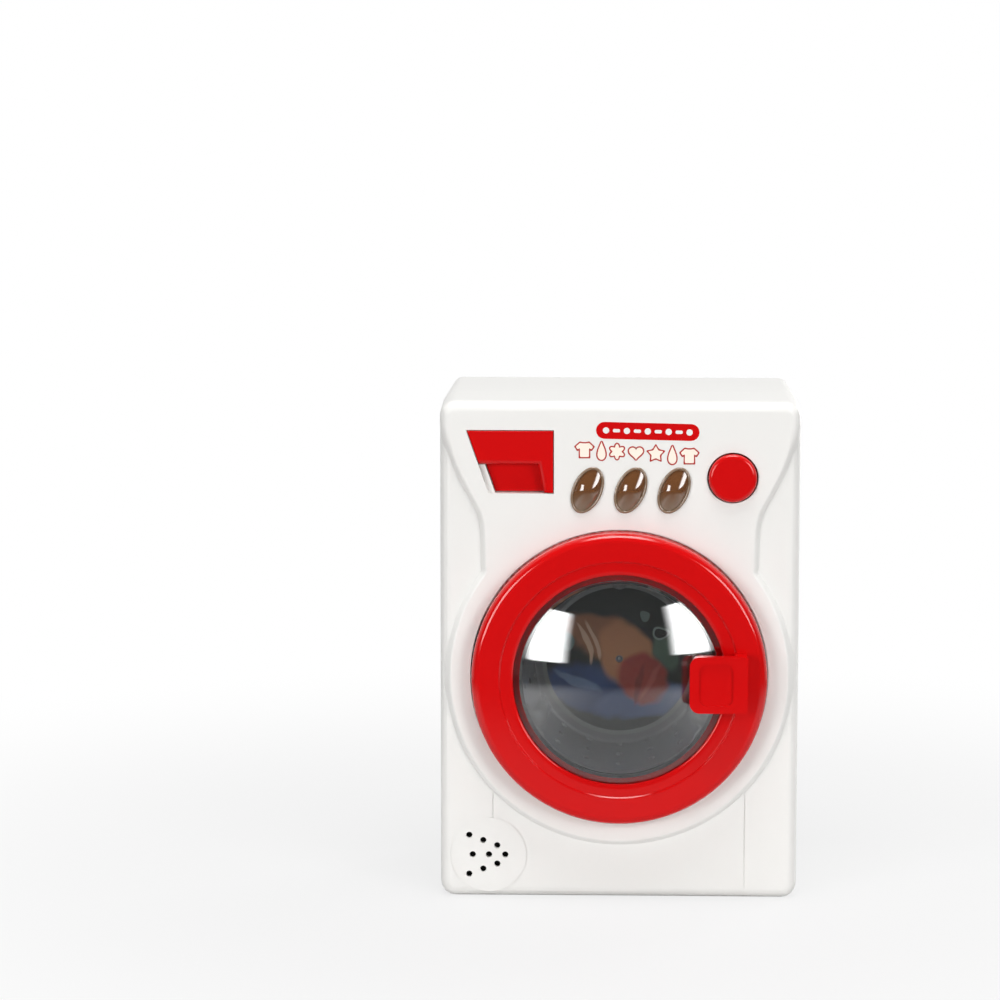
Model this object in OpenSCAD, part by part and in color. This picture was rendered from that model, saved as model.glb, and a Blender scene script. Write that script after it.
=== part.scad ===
// Toy front-loading washing machine. Millimetres, +Z up, the door side faces -Y.
// Depths named t run backwards from the face of the raised front panel.

/* [Casing] */
// Distance from the door ring to each side
side_margin = 15; // [14:0.5:20]
// Height of the plinth below the door ring
plinth_h = 38.5; // [36:0.5:46]
// Height of the control strip above the door ring
control_h = 61.5; // [60:0.5:80]
// Depth from the raised panel to the back
body_d = 114; // [112:1:140]
// Depth of the joint between the front and rear shells
split_t = 38; // [34:1:44]
// Wall thickness of the shells
wall = 2.2; // [1.8:0.1:2.6]
// Corner radius seen from the front
corner_r = 7; // [5.5:0.5:9]
// Rounding of the front edges
edge_r = 5; // [3:0.5:5]
// Rounding of the back edges
back_r = 6; // [3:0.5:6]
// How far each side draws in towards the back
draft = 2.5; // [1:0.5:4]

/* [Raised panel] */
// Height of the raised panel above the casing front
panel_rise = 3; // [2:0.5:4]
// Width of the soft flank round the panel
flank_w = 3.5; // [2.5:0.5:4.5]
// Distance from each side to the neck above the door
neck_side = 22.5; // [19:0.5:27]
// Width of the panel left round the door
panel_margin = 9.5; // [7:0.5:10]
// Drop from the top to where the panel leaves the side edges
sweep_top_drop = 12; // [8:1:16]
// Drop from the top to where the sweep reaches the neck
sweep_low_drop = 54; // [48:1:60]
// Distance of the plinth grooves from the sides
groove_side = 25; // [19:1:32]

/* [Door] */
// Outer radius of the door ring
door_r = 70; // [66:0.5:78]
// Reach of the door ring in front of the panel
door_reach = 10; // [9:0.5:12]
// Rounding of the ring's outer front edge
door_edge_r = 4; // [2:0.5:5]
// Width of the ring's front face
face_w = 13.7; // [12:0.1:15]
// Width of the slope from the ring's face down to the window
slope_w = 7.6; // [6:0.1:9]
// Reach of the dome in front of the panel
dome_reach = 19.5; // [17:0.5:19.5]
// Reach of the dome's rim in front of the panel
rim_reach = 8.5; // [8:0.1:9]
// Width of the steep rim between the slope and the window
rim_w = 2.6; // [1.5:0.1:3.5]
// How far the slope's end stands in front of the rim
rim_step = 0.4; // [0.2:0.1:0.6]
// Wall of the dome
dome_wall = 1.8; // [1.4:0.1:2]
// Wall of the door ring
door_wall = 2.2; // [1.8:0.1:2.4]
// Gap between the door ring and its recess
door_gap = 0.7; // [0.5:0.1:1]
// Diameter of the hinge pin
pin_d = 2; // [1.6:0.1:2.4]

/* [Handle] */
// Reach of the handle in front of the panel
handle_reach = 20; // [19.5:0.5:24]
// Length of the handle across the door
handle_len = 27.4; // [24:0.2:30]
// Height of the handle
handle_h = 27; // [22:0.5:30]
// Thickness of the handle plate
handle_thick = 4.4; // [3.6:0.1:4.6]
// Distance of the handle's outer end from the edge of the ring
handle_inset = 9.6; // [8:0.2:12]
// Width of the recess for the thumb
thumb_w = 16; // [12:0.5:17]
// Height of the recess for the thumb
thumb_h = 20; // [14:0.5:21]
// Depth of the recess for the thumb
thumb_deep = 1; // [0.6:0.1:1.4]

/* [Drum] */
// How much wider the drum's mouth is than the window, as a radius
drum_over = 0.3; // [0:0.1:1]
// How much narrower the drum is at its back, as a radius
drum_taper = 7; // [5:0.5:9]
// Depth of the drum's mouth behind the panel
drum_mouth_t = 8; // [7.5:0.5:10]
// Depth of the drum's back plate behind the panel
drum_back_t = 44.6; // [40:0.2:48]
// Wall of the drum
drum_wall = 1.8; // [1.4:0.1:2]
// Width of the drum's back left round the picture disc
disc_margin = 4.7; // [4:0.1:10]
// Thickness of the picture disc
disc_thick = 1.4; // [1:0.1:2]
// Running gap between drum and tub
drum_gap = 1.5; // [1.2:0.1:2]
// Diameter of the drum shaft
shaft_d = 4; // [3.6:0.1:4.4]

/* [Gears] */
// Module of the gears
gear_m = 0.6; // [0.58:0.01:0.6]
// Teeth of the drum gear
drum_teeth = 40; // [38:1:40]
// Teeth of the large intermediate gears
wheel_teeth = 36; // [34:1:36]
// Teeth of the pinions
pinion_teeth = 10; // [10:1:11]
// Thickness of one gear layer
gear_w = 2.4; // [2:0.1:2.6]

/* [Controls] */
// Diameter of the start button
button_d = 22.8; // [20:0.2:24]
// Distance of the button's centre from the side
button_side = 32; // [29:0.5:33]
// Drop from the top to the button
button_drop = 36; // [34:0.5:40]
// Reach of the button in front of the panel
button_reach = 2.8; // [2.6:0.1:4]
// Travel of the button
button_travel = 2.5; // [1.5:0.1:2.5]
// Length of a lamp lens
lens_len = 23.2; // [18:0.2:24]
// Width of a lamp lens
lens_w = 14.1; // [10:0.1:15]
// Lean of the lamp lenses
lens_tilt = 23; // [0:1:30]
// Distance between the lamp lenses
lens_pitch = 20.4; // [19:0.1:21]
// Distance of the middle lens from the middle of the casing
lens_x = 5; // [4:0.2:7]
// Drop from the top to the lenses
lens_drop = 42; // [41:0.5:46]

/* [Drawer] */
// Drop from the top to the drawer's upper edge
drawer_drop = 14; // [12:0.5:16]
// Height of the drawer front
drawer_h = 29.4; // [26:0.2:32]
// Width of the drawer front at the top
drawer_top_w = 40.6; // [38:0.2:41]
// Width of the drawer front at the bottom
drawer_low_w = 30.2; // [28:0.2:34]
// Distance of the drawer's upper outer corner from the side
drawer_side = 12.9; // [11:0.1:13.4]
// Height of the band across the drawer's top
drawer_band = 16; // [12:0.5:18]
// Depth of the finger grip
grip_deep = 5.5; // [4:0.1:6]
// Rounding along the edges of the finger grip
grip_round = 2.4; // [1:0.2:2.8]
// Length of the drawer
drawer_len = 46; // [40:1:50]

/* [Speaker and batteries] */
// Diameter of the speaker
speaker_d = 34; // [31:1:36]
// Diameter of the speaker holes
sound_hole_d = 3; // [2:0.2:3.4]
// Diameter of an AA cell
cell_d = 14.5; // [13.5:0.1:14.6]
// Length of an AA cell
cell_len = 50.5; // [49:0.1:52]
// Number of cells
cells = 3; // [2:1:3]

/* [Fits] */
// Clearance all round the drawer
slide_fit = 0.35; // [0.2:0.05:0.5]
// Clearance between shells and covers that lift off
cover_fit = 0.25; // [0.15:0.05:0.4]
// Radial clearance of running pins and shafts
run_fit = 0.05; // [0.03:0.01:0.08]
// Gap left between pieces that are screwed or clipped together
seat_gap = 0.1; // [0.05:0.05:0.2]

/* [Hidden] */
$fn = 64;

past = 1;              // how far a cut runs past a face
panel_y = (handle_reach - body_d) / 2;
body_w = 2 * (door_r + side_margin);
door_z = plinth_h + door_r;
body_h = door_z + door_r + control_h;
neck_half = body_w / 2 - neck_side;
groove_x = body_w / 2 - groove_side;
face_in_r = door_r - face_w;
window_r = face_in_r - slope_w;
handle_end = door_r - handle_inset;
drum_mouth_r = window_r + drum_over;
drum_back_r = drum_mouth_r - drum_taper;
disc_r = drum_back_r - disc_margin;
button_x = body_w / 2 - button_side;
drawer_x = body_w / 2 - drawer_side - drawer_top_w;
rear_door_t = panel_rise - door_gap;

// ---- helpers ----
function y_of(t) = panel_y + t;
function mix(a, b, share) = a + (b - a) * share;
function smooth(s) = let (c = max(0, min(1, s))) c * c * (3 - 2 * c);

// Round bar along the depth
module rod(d, t0, t1, x = 0, z = 0)
    translate([x, y_of(t1), z]) rotate([90, 0, 0]) cylinder(d = d, h = t1 - t0);

// Front-view outline given a depth
module slab(t0, t1)
    translate([0, y_of(t1), 0]) rotate([90, 0, 0]) linear_extrude(t1 - t0) children();

// Profile of radius and depth, turned about an axis along the depth
module turned(x = 0, z = 0)
    translate([x, panel_y, z]) rotate([-90, 0, 0]) rotate_extrude() children();

module block(x0, x1, t0, t1, z0, z1)
    translate([x0, y_of(t0), z0]) cube([x1 - x0, t1 - t0, z1 - z0]);

module soft_rect(x0, x1, z0, z1, r) {
    translate([x0 + r, z0]) square([x1 - x0 - 2 * r, z1 - z0]);
    translate([x0, z0 + r]) square([x1 - x0, z1 - z0 - 2 * r]);
    for (x = [x0 + r, x1 - r], z = [z0 + r, z1 - r]) translate([x, z]) circle(r);
}

// Screw with its head at depth t, its shank pointing to the front
module screw(t, d, len, x, z) {
    rod(d, t - len, t, x, z);
    turned(x, z) polygon([[0, t], [d * 0.95, t], [d * 0.85, t + d * 0.45], [0, t + d * 0.7]]);
}

// Skin through rings of equal length, each listed clockwise, with flat ends
module loft(rings) {
    n = len(rings[0]);
    last = len(rings) - 1;
    half = n / 2;
    skin = [for (k = [0:last - 1], i = [0:n - 1]) let (j = (i + 1) % n)
        each [[k * n + i, (k + 1) * n + i, (k + 1) * n + j], [k * n + i, (k + 1) * n + j, k * n + j]]];
    near = [for (i = [0:half - 2]) [i, i + 1, n - 2 - i, n - 1 - i]];
    far = [for (i = [0:half - 2]) [for (c = [n - 1 - i, n - 2 - i, i + 1, i]) last * n + c]];
    polyhedron([for (ring = rings) each ring], concat(near, skin, far));
}

// Round wire wound about an axis along the depth, tapering from r0 to r1
module coil(x, z, t0, t1, r0, r1, wire, turns, steps = 12, sides = 6) {
    count = turns * steps;
    loft([for (k = [0:count]) let (s = k / count, a = 360 * turns * s, r = mix(r0, r1, s))
        [for (i = [0:sides - 1]) let (b = 360 * i / sides, e = r + wire / 2 * cos(b))
            [x + e * cos(a), y_of(mix(t0, t1, s)) + wire / 2 * sin(b), z + e * sin(a)]]]);
}

// ---- casing outline ----
corner_steps = 4;
function casing_half(inset) = let (r = max(corner_r - inset, 0.5), x = body_w / 2 - inset - r) [
    for (i = [0:corner_steps]) let (a = 90 - 90 * i / corner_steps)
        [x + r * cos(a), body_h - inset - r + r * sin(a)],
    for (i = [0:corner_steps]) let (a = -90 * i / corner_steps)
        [x + r * cos(a), inset + r + r * sin(a)]];
function both_halves(half) =
    concat(half, [for (i = [len(half) - 1:-1:0]) [-half[i][0], half[i][1]]]);
function ring_at(half, t) = [for (p = both_halves(half)) [p[0], y_of(t), p[1]]];
module casing_2d(inset) polygon(both_halves(casing_half(inset)));

// ---- raised panel outline: stations of point, outward direction and share of casing edge ----
panel_r = door_r + panel_margin;
edge_x = body_w / 2 - edge_r;
sweep_top = body_h - sweep_top_drop;
sweep_low = body_h - sweep_low_drop;
sweep_soft = 6;        // how gently the sweep leaves the neck
edge_fade = 14;        // height over which the casing edge turns into the flank
neck_r = 6;            // blend between the neck and the ring
neck_z = door_z + sqrt(pow(panel_r + neck_r, 2) - pow(neck_half + neck_r, 2));
neck_a = atan2(neck_z - door_z, neck_half + neck_r);
flank_deep = panel_rise + 0.5;
flank_turn = 144;      // turn of the flank's S-shaped section
sweep_steps = 15;
neck_steps = 4;
ring_steps = 30;
function soft_rise(u) = (u + sqrt(u * u + sweep_soft * sweep_soft)) / 2;
function sweep_x(z) = mix(neck_half, edge_x,
    sin(90 * min(1, soft_rise(z - sweep_low) / (sweep_top - sweep_low))));
function sweep_station(z) = let (slope = (sweep_x(z + 0.1) - sweep_x(z - 0.1)) / 0.2,
    n = sqrt(1 + slope * slope))
    [sweep_x(z), z, 1 / n, -slope / n, smooth((z - sweep_top + edge_fade) / edge_fade)];
panel_stations = [
    for (i = [0:corner_steps]) let (a = 90 - 90 * i / corner_steps)
        [body_w / 2 - corner_r + (corner_r - edge_r) * cos(a),
         body_h - corner_r + (corner_r - edge_r) * sin(a), cos(a), sin(a), 1],
    for (i = [0:sweep_steps]) sweep_station(mix(sweep_top, neck_z + 1, i / sweep_steps)),
    for (i = [0:neck_steps]) let (a = 180 + neck_a * i / neck_steps)
        [neck_half + neck_r + neck_r * cos(a), neck_z + neck_r * sin(a), -cos(a), -sin(a), 0],
    for (i = [1:ring_steps]) let (a = mix(neck_a, -90, i / (ring_steps + 0.5)))
        [panel_r * cos(a), door_z + panel_r * sin(a), cos(a), sin(a), 0]];
function panel_ring(w_flank, t_flank, w_edge, t_edge) = let (half = [for (s = panel_stations)
    let (w = mix(w_flank, w_edge, s[4]))
        [s[0] + s[2] * w, y_of(mix(t_flank, t_edge, s[4])), s[1] + s[3] * w]])
    concat(half, [for (i = [len(half) - 1:-1:0]) [-half[i][0], half[i][1], half[i][2]]]);
section_steps = 4;
module raised_panel() loft([
    for (k = [0:section_steps]) let (a = 90 * k / section_steps)
        panel_ring(flank_w * k / section_steps,
            flank_deep * (1 - cos(flank_turn * k / section_steps)) / (1 - cos(flank_turn)),
            edge_r * sin(a), edge_r * (1 - cos(a))),
    panel_ring(flank_w, panel_rise + edge_r, edge_r, panel_rise + edge_r),
    panel_ring(flank_w - 1, panel_rise + edge_r + 3, edge_r - 3, panel_rise + edge_r + 3)]);
module panel_2d(w_flank, w_edge)
    polygon([for (p = panel_ring(w_flank, 0, w_edge, 0)) [p[0], p[2]]]);

// ---- battery bay ----
cell_gap = 0.6;
bay_half = cell_len / 2 + 4.2;
bay_z0 = 14;
bay_z1 = bay_z0 + cells * (cell_d + cell_gap) + cell_gap;
bay_wall = 1.8;
lid_thick = 2.2;
lid_margin = 3;
lid_top = 11;          // room above the bay for the lid's screw
back_t = body_d;
bay_t = back_t - lid_thick - cell_d - 2.4;
lid_screw_z = bay_z1 + 6.4;
function cell_z(k) = bay_z0 + cell_gap + cell_d / 2 + k * (cell_d + cell_gap);
cell_t = bay_t + cell_d / 2 + 0.4;

// ---- shared places ----
floor_t = panel_rise;                       // face of the door recess
floor_back_t = floor_t + wall;
panel_back_t = wall;
recess_r = door_r + door_gap;
mouth_r = drum_mouth_r + 1;                 // opening in the recess floor
shell_screw_d = 3;
screw_side = body_w / 2 - 12;
shell_screw_at = concat([[0, body_h - 14]], [for (x = [-1, 1]) each [
    [x * (bay_half + 11), edge_r + 8], [x * screw_side, door_z - door_r + 13.5],
    [x * screw_side, sweep_low - 4]]]);
shell_boss_d = 7.5;
screw_seat_t = split_t + 4;
small_screw_d = 2.2;
post_d = 5.6;
tub_post_t = 13;
tub_post_r = drum_mouth_r + 8.5;
tub_post_at = [for (a = [45:90:315]) [tub_post_r * cos(a), door_z + tub_post_r * sin(a)]];
board_t = 24;
board_thick = 1.6;
board_x0 = lens_x - lens_pitch - 9;
board_x1 = button_x + 15;
board_z0 = body_h - lens_drop - 19;
board_z1 = body_h - 22;
board_post_at = [for (x = [board_x0 + 4, lens_x + 1.5 * lens_pitch], z = [board_z0 + 3.5, board_z1 - 3.5])
    [x, z]];
button_z = body_h - button_drop;
button_hole_d = button_d + 1.4;
collar_t = 10;
lens_z = body_h - lens_drop;
lens_at = [for (k = [-1:1]) lens_x + k * lens_pitch];

// ---- door hinge: the pin stands upright inside the ring's channel ----
pin_x = -(door_r - 7);
pin_t = -4;
knuckle_d = pin_d + 3;
ear_z0 = 12;           // ears on the casing, either side of the door's knuckles
ear_z1 = 16;
knuckle_z0 = 6;
well_half = 25;
well_t = floor_t + 3.3;
well_x1 = pin_x + 7.5;
ear_arm_x0 = pin_x + knuckle_d / 2 + 2.7;
ear_arm_x1 = ear_arm_x0 + 3;

// Tongue of the catch
catch_x = door_r - 5.7;
catch_w = 2;
catch_half = 3.6;
catch_gap = 0.8;
catch_t = 8;

// ---- drawer outline ----
drawer_z1 = body_h - drawer_drop;
drawer_z0 = drawer_z1 - drawer_h;
drawer_slope = (drawer_top_w - drawer_low_w) / drawer_h;
drawer_inset = 3;      // the part below the band stands in from the slanted edge
function drawer_left(z) = -drawer_x - drawer_low_w - drawer_slope * (z - drawer_z0);
function drawer_points(grow, step_in = 0) = let (s = grow * sqrt(1 + drawer_slope * drawer_slope),
    zt = drawer_z1 + grow, zb = drawer_z0 - grow, zm = drawer_z1 - drawer_band - grow) [
    [drawer_left(zt) - s, zt], [-drawer_x + grow, zt], [-drawer_x + grow, zb],
    [drawer_left(zb) - s + step_in, zb], [drawer_left(zm) - s + step_in, zm],
    [drawer_left(zm) - s, zm]];
drawer_front_t = -0.4;
band_z = drawer_z1 - drawer_band;           // lower edge of the band
grip_x1 = -drawer_x - 7.4;
function grip_ring(t, s) = [[drawer_left(band_z) - 2, y_of(t), band_z + s],
    [grip_x1 + s, y_of(t), band_z + s], [grip_x1 + 3.4 + s, y_of(t), drawer_z0 - past],
    [drawer_left(drawer_z0) - 2, y_of(t), drawer_z0 - past]];
drawer_wall = 1.6;
sleeve_wall = 1.6;
sleeve_ear_t = 9;
sleeve_post_at = [[-drawer_x + 5, drawer_z1 - 7], [drawer_left(drawer_z0) - 7.8, drawer_z0 + 6.4]];

// ---- speaker ----
speaker_x = -(body_w / 2 - 23);
speaker_z = 21;
// Sound holes in three rows that fan out from one tip
sound_step = 0.197 * speaker_d;
sound_tip = 1.18 * sound_step;
speaker_hole_at = [for (row = [-1:1], k = [0:2]) row == 0 ? [sound_tip - 1.16 * sound_step * k, 0]
    : [sound_tip - (0.57 + k) * sound_step, row * (0.67 + 0.375 * k) * sound_step]];
speaker_post_at = [for (a = [45, 225]) [speaker_x, speaker_z] + (speaker_d / 2 + 3) * [cos(a), sin(a)]];
speaker_pad = 1.6;
speaker_t = floor_back_t + speaker_pad + seat_gap;
speaker_rim = 3.2;

// ---- drum, tub and gearbox ----
tub_wall = 2;
tub_back_t = drum_back_t + 5.4;
drum_slope = (drum_mouth_r - drum_back_r) / (drum_back_t + drum_wall - drum_mouth_t);
function drum_r(t) = drum_mouth_r - drum_slope * (t - drum_mouth_t);
bush_d = 8;
bush_flange_d = 12;
bush_t = tub_back_t - 2.6;
hub_t = bush_t - 0.2;                       // back of the drum's hub
plate_t = tub_back_t + tub_wall;            // front of the gearbox plate
plate_thick = 2;
layer_gap = 0.6;
layer_a = plate_t + plate_thick + layer_gap;
layer_b = layer_a + gear_w + layer_gap;
layer_c = layer_b + gear_w + layer_gap;
cover_in_t = layer_c + gear_w + 1.2;
cover_t = cover_in_t + 2;
gear_pin_d = 2;
motor_shaft_d = 2;
function pitch_r(teeth) = gear_m * teeth / 2;
span_a = pitch_r(drum_teeth) + pitch_r(pinion_teeth);
span_b = pitch_r(wheel_teeth) + pitch_r(pinion_teeth);
second_at = [span_a, 0];
first_lean = 60;       // direction from the second gear to the first
first_at = second_at + span_b * [cos(first_lean), sin(first_lean)];
motor_at = first_at - [span_b, 0];
box_x0 = -15;
box_x1 = first_at[0] + pitch_r(wheel_teeth) + 4;
box_z0 = -15;
box_z1 = first_at[1] + pitch_r(wheel_teeth) + 4;
ear_reach = 5;
box_screw_at = [for (x = [box_x0 - ear_reach, box_x1 + ear_reach], z = [-11, 19]) [x, door_z + z]];
motor_d = 20;
motor_flat = 15;
motor_len = 25;
motor_t = cover_t + seat_gap;

// ---- gears ----
pressure = 25;
addendum = 0.8 * gear_m;
dedendum = 1.05 * gear_m;
backlash = 0.12;
flank_points = 3;
function inv_deg(a) = tan(a) * 180 / PI - a;
function tooth_half(teeth, r) = let (rp = pitch_r(teeth), rb = rp * cos(pressure))
    (PI * gear_m / 4 - backlash / 2) / rp * 180 / PI + inv_deg(pressure)
    - inv_deg(acos(min(1, rb / r)));
function flank_radii(teeth) = let (rp = pitch_r(teeth), rb = rp * cos(pressure),
    root = rp - dedendum, start = max(rb, root + 0.01))
    concat([root], [for (i = [0:flank_points]) mix(start, rp + addendum, i / flank_points)]);
function polar(r, a) = r * [cos(a), sin(a)];
module gear_2d(teeth, phase) {
    radii = flank_radii(teeth);
    polygon([for (k = [0:teeth - 1]) let (a = phase + 360 * k / teeth) each concat(
        [for (r = radii) polar(r, a - tooth_half(teeth, r))],
        [for (i = [len(radii) - 1:-1:0]) polar(radii[i], a + tooth_half(teeth, radii[i]))])]);
}
// Phase of a gear that meshes with another in the direction given
function mesh_phase(dir, teeth, other_teeth, other_phase) =
    dir + 180 - 360 / teeth * (0.5 - other_teeth * (dir - other_phase) / 360);
module gear(teeth, phase, t0, at, bore)
    translate([at[0], 0, door_z + at[1]]) slab(t0, t0 + gear_w) difference() {
        gear_2d(teeth, phase);
        circle(d = bore);
    }
second_phase = mesh_phase(0, pinion_teeth, drum_teeth, 0);
first_phase = mesh_phase(first_lean, pinion_teeth, wheel_teeth, 0);
motor_phase = mesh_phase(180, pinion_teeth, wheel_teeth, 0);

// ================= casing =================
module ellipse_2d(len, width, tilt, x, z, steps = 40)
    translate([x, z]) rotate(-tilt)
        polygon([for (i = [0:steps - 1]) let (a = 360 * i / steps)
            [width / 2 * cos(a), len / 2 * sin(a)]]);

// Screw posts behind the front: places, foot, top, diameter, bore and depth of bore
fixings = [
    [[shell_screw_at[0]], panel_back_t, split_t, shell_boss_d, shell_screw_d, 12],
    [[for (i = [1:len(shell_screw_at) - 1]) shell_screw_at[i]], floor_back_t, split_t,
        shell_boss_d, shell_screw_d, 12],
    [tub_post_at, floor_back_t, tub_post_t, post_d, small_screw_d, 6],
    [board_post_at, panel_back_t, board_t, post_d, small_screw_d, 7],
    [sleeve_post_at, panel_back_t, sleeve_ear_t, post_d, small_screw_d, 5],
    [speaker_post_at, floor_back_t, speaker_t + speaker_rim, post_d, small_screw_d, 4]];

module hinge_ears() {
    r = knuckle_d / 2;
    for (z = [ear_z0, -ear_z1]) translate([0, 0, door_z + z]) linear_extrude(ear_z1 - ear_z0)
        difference() {
            union() {
                translate([pin_x, y_of(pin_t)]) circle(r);
                translate([pin_x, y_of(pin_t) - r]) square([ear_arm_x1 - pin_x - r, 2 * r]);
                translate([ear_arm_x1 - r, y_of(pin_t)]) circle(r);
                translate([ear_arm_x0, y_of(pin_t)])
                    square([ear_arm_x1 - ear_arm_x0, well_t + wall - pin_t]);
            }
            translate([pin_x, y_of(pin_t)]) circle(d = pin_d);
        }
}

module front_shell_walls() difference() {
    union() {
        loft(concat(
            [for (k = [0:section_steps]) let (a = 90 * k / section_steps)
                ring_at(casing_half(edge_r * (1 - sin(a))), floor_t + edge_r * (1 - cos(a)))],
            [ring_at(casing_half(0), split_t)]));
        raised_panel();
    }
    slab(floor_back_t, floor_t + edge_r) casing_2d(wall + 1.4);
    slab(floor_t + edge_r - past, split_t + past) casing_2d(wall);
    slab(panel_back_t, floor_back_t + 0.1) difference() {
        panel_2d(0.6, edge_r - wall - 1.2);
        translate([0, door_z]) circle(recess_r + wall);
    }
}

module front_shell() color("whitesmoke") {
    difference() {
        union() {
            front_shell_walls();
            // floor of the hinge well
            block(-recess_r - wall, well_x1 + wall, floor_t + 0.5, well_t + wall,
                door_z - well_half - wall, door_z + well_half + wall);
            // collar of the button
            rod(button_hole_d + 2 * 1.8, panel_back_t - past, collar_t, button_x, button_z);
            // boss behind the sound holes
            rod(speaker_d + 3, floor_back_t - past, floor_back_t + speaker_pad, speaker_x, speaker_z);
            rod(2 * (speaker_d / 2 + 1), floor_t - 0.5, floor_back_t, speaker_x, speaker_z);
            for (f = fixings, p = f[0]) rod(f[3], f[1] - past, f[2], p[0], p[1]);
        }
        for (f = fixings, p = f[0]) rod(f[4], f[2] - f[5], f[2] + past, p[0], p[1]);
        rod(2 * recess_r, -past, floor_t, 0, door_z);
        rod(2 * mouth_r, 0, floor_back_t + past, 0, door_z);
        block(-sqrt(recess_r * recess_r - well_half * well_half) - 4, well_x1, floor_t - past, well_t,
            door_z - well_half, door_z + well_half);
        block(catch_x - catch_w / 2 - catch_gap, catch_x + catch_w / 2 + catch_gap, 0, floor_back_t + past,
            door_z - catch_half - catch_gap, door_z + catch_half + catch_gap);
        slab(-past, floor_back_t + past) polygon(drawer_points(slide_fit));
        for (x = lens_at) slab(-past, floor_back_t + past)
            ellipse_2d(lens_len - 2.4, lens_w - 2.4, lens_tilt, x, lens_z);
        rod(button_hole_d, -past, collar_t + past, button_x, button_z);
        rod(speaker_d - 4, floor_back_t - 0.6, floor_back_t + speaker_pad + past, speaker_x, speaker_z);
        for (p = speaker_hole_at)
            rod(sound_hole_d, -past, floor_back_t + past, speaker_x + p[0], speaker_z + p[1]);
        for (side = [-1, 1]) {
            // plinth grooves, ending in notches in the bottom edge
            block(side * groove_x - 0.3, side * groove_x + 0.3, floor_t - 0.2, floor_t + 0.4, edge_r,
                door_z - sqrt(pow(panel_r + flank_w, 2) - groove_x * groove_x));
            block(side * groove_x - 1.5, side * groove_x + 1.5, 0, floor_t + wall + 1, -past, 1);
        }
    }
    hinge_ears();
}

module rear_ring_walls(inset, t0, t1)
    loft([ring_at(casing_half(inset), t0),
        for (k = [0:section_steps]) let (a = 90 * k / section_steps, r = back_r - inset / 2)
            ring_at(casing_half(inset + draft + r * (1 - cos(a))), t1 - r * (1 - sin(a)))]);

module rear_shell() color("whitesmoke") {
    lip_deep = 3;
    difference() {
        union() {
            difference() {
                rear_ring_walls(0, split_t, back_t);
                rear_ring_walls(wall, split_t - past, back_t - wall);
            }
            // lip that centres the front shell
            slab(split_t - lip_deep, split_t + 1) difference() {
                casing_2d(wall + cover_fit);
                casing_2d(wall + cover_fit + 1.4);
            }
            slab(split_t + 0.05, split_t + 3) difference() {
                casing_2d(wall - 0.6);
                casing_2d(wall + cover_fit + 1.4);
            }
            intersection() {
                union() {
                    // walls of the battery bay
                    block(-bay_half - bay_wall, bay_half + bay_wall, bay_t - bay_wall, back_t - 1,
                        bay_z0 - bay_wall, bay_z1 + bay_wall);
                    block(-5, 5, back_t - 14, back_t - 1, bay_z1, lid_screw_z + 4);
                    slab(back_t - lid_thick - bay_wall, back_t - 1)
                        soft_rect(-bay_half - lid_margin - bay_wall, bay_half + lid_margin + bay_wall,
                            bay_z0 - lid_margin - bay_wall, bay_z1 + lid_top + bay_wall, 3);
                    for (p = shell_screw_at) rod(shell_boss_d + 1.6, split_t, back_t - 1, p[0], p[1]);
                }
                rear_ring_walls(0.6, split_t - past, back_t - 0.6);
            }
            // rear feet
            for (x = [-1, 1]) translate([x * (body_w / 2 - 25), y_of(back_t - 16), 0])
                cylinder(d = 12, h = wall + 1);
        }
        for (p = shell_screw_at) {
            rod(shell_boss_d - 0.9, screw_seat_t, back_t + past, p[0], p[1]);
            rod(shell_screw_d + 0.4, split_t - past, screw_seat_t + past, p[0], p[1]);
        }
        // seat of the lid and the bay itself
        slab(back_t - lid_thick, back_t + past)
            soft_rect(-bay_half - lid_margin, bay_half + lid_margin, bay_z0 - lid_margin,
                bay_z1 + lid_top, 2.5);
        block(-bay_half, bay_half, bay_t, back_t, bay_z0, bay_z1);
        rod(small_screw_d, back_t - 12, back_t, 0, lid_screw_z);
    }
}

module shell_screws() color("silver")
    for (p = shell_screw_at) screw(screw_seat_t + seat_gap, shell_screw_d - 0.1, 14, p[0], p[1]);

// ================= tub, bush and gearbox =================
module drum_tub() color("dimgray") {
    front_t = floor_back_t + seat_gap;
    r0 = drum_r(drum_mouth_t) + drum_gap;
    r1 = drum_r(tub_back_t) + drum_gap;
    difference() {
        union() {
            turned(0, door_z) polygon([[r0, front_t], [r0 + tub_wall, front_t],
                [r0 + tub_wall, drum_mouth_t], [r1 + tub_wall, tub_back_t + tub_wall],
                [0, tub_back_t + tub_wall], [0, tub_back_t], [r1, tub_back_t], [r0, drum_mouth_t]]);
            for (p = tub_post_at) slab(tub_post_t + seat_gap, tub_post_t + seat_gap + 2) {
                translate(p) circle(d = post_d + 2);
                intersection() {
                    hull_bar(p, [0, door_z], post_d + 1.2);
                    difference() {
                        translate([0, door_z]) circle(tub_post_r);
                        translate([0, door_z]) circle(r0 - 0.2);
                    }
                }
            }
            // stiffening ribs behind the cup
            for (a = [90, 180, 270]) translate([0, 0, door_z]) rotate([0, a, 0])
                block(box_z1 + 5, r1 - 1, tub_back_t + 0.5, tub_back_t + tub_wall + 3, -0.9, 0.9);
        }
        rod(bush_d + 0.1, tub_back_t - past, plate_t + past, 0, door_z);
        for (p = tub_post_at) rod(small_screw_d + 0.3, tub_post_t, tub_post_t + 3, p[0], p[1]);
        for (p = box_screw_at) rod(small_screw_d, plate_t - 1.6, plate_t + past, p[0], p[1]);
    }
}
// Straight bar between two points, seen from the front
module hull_bar(a, b, width) {
    d = b - a;
    translate(a) rotate(atan2(d[1], d[0])) translate([0, -width / 2]) square([norm(d), width]);
}

module tub_screws() color("silver")
    for (p = tub_post_at) screw(tub_post_t + 2 + 2 * seat_gap, small_screw_d - 0.1, 7, p[0], p[1]);

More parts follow.
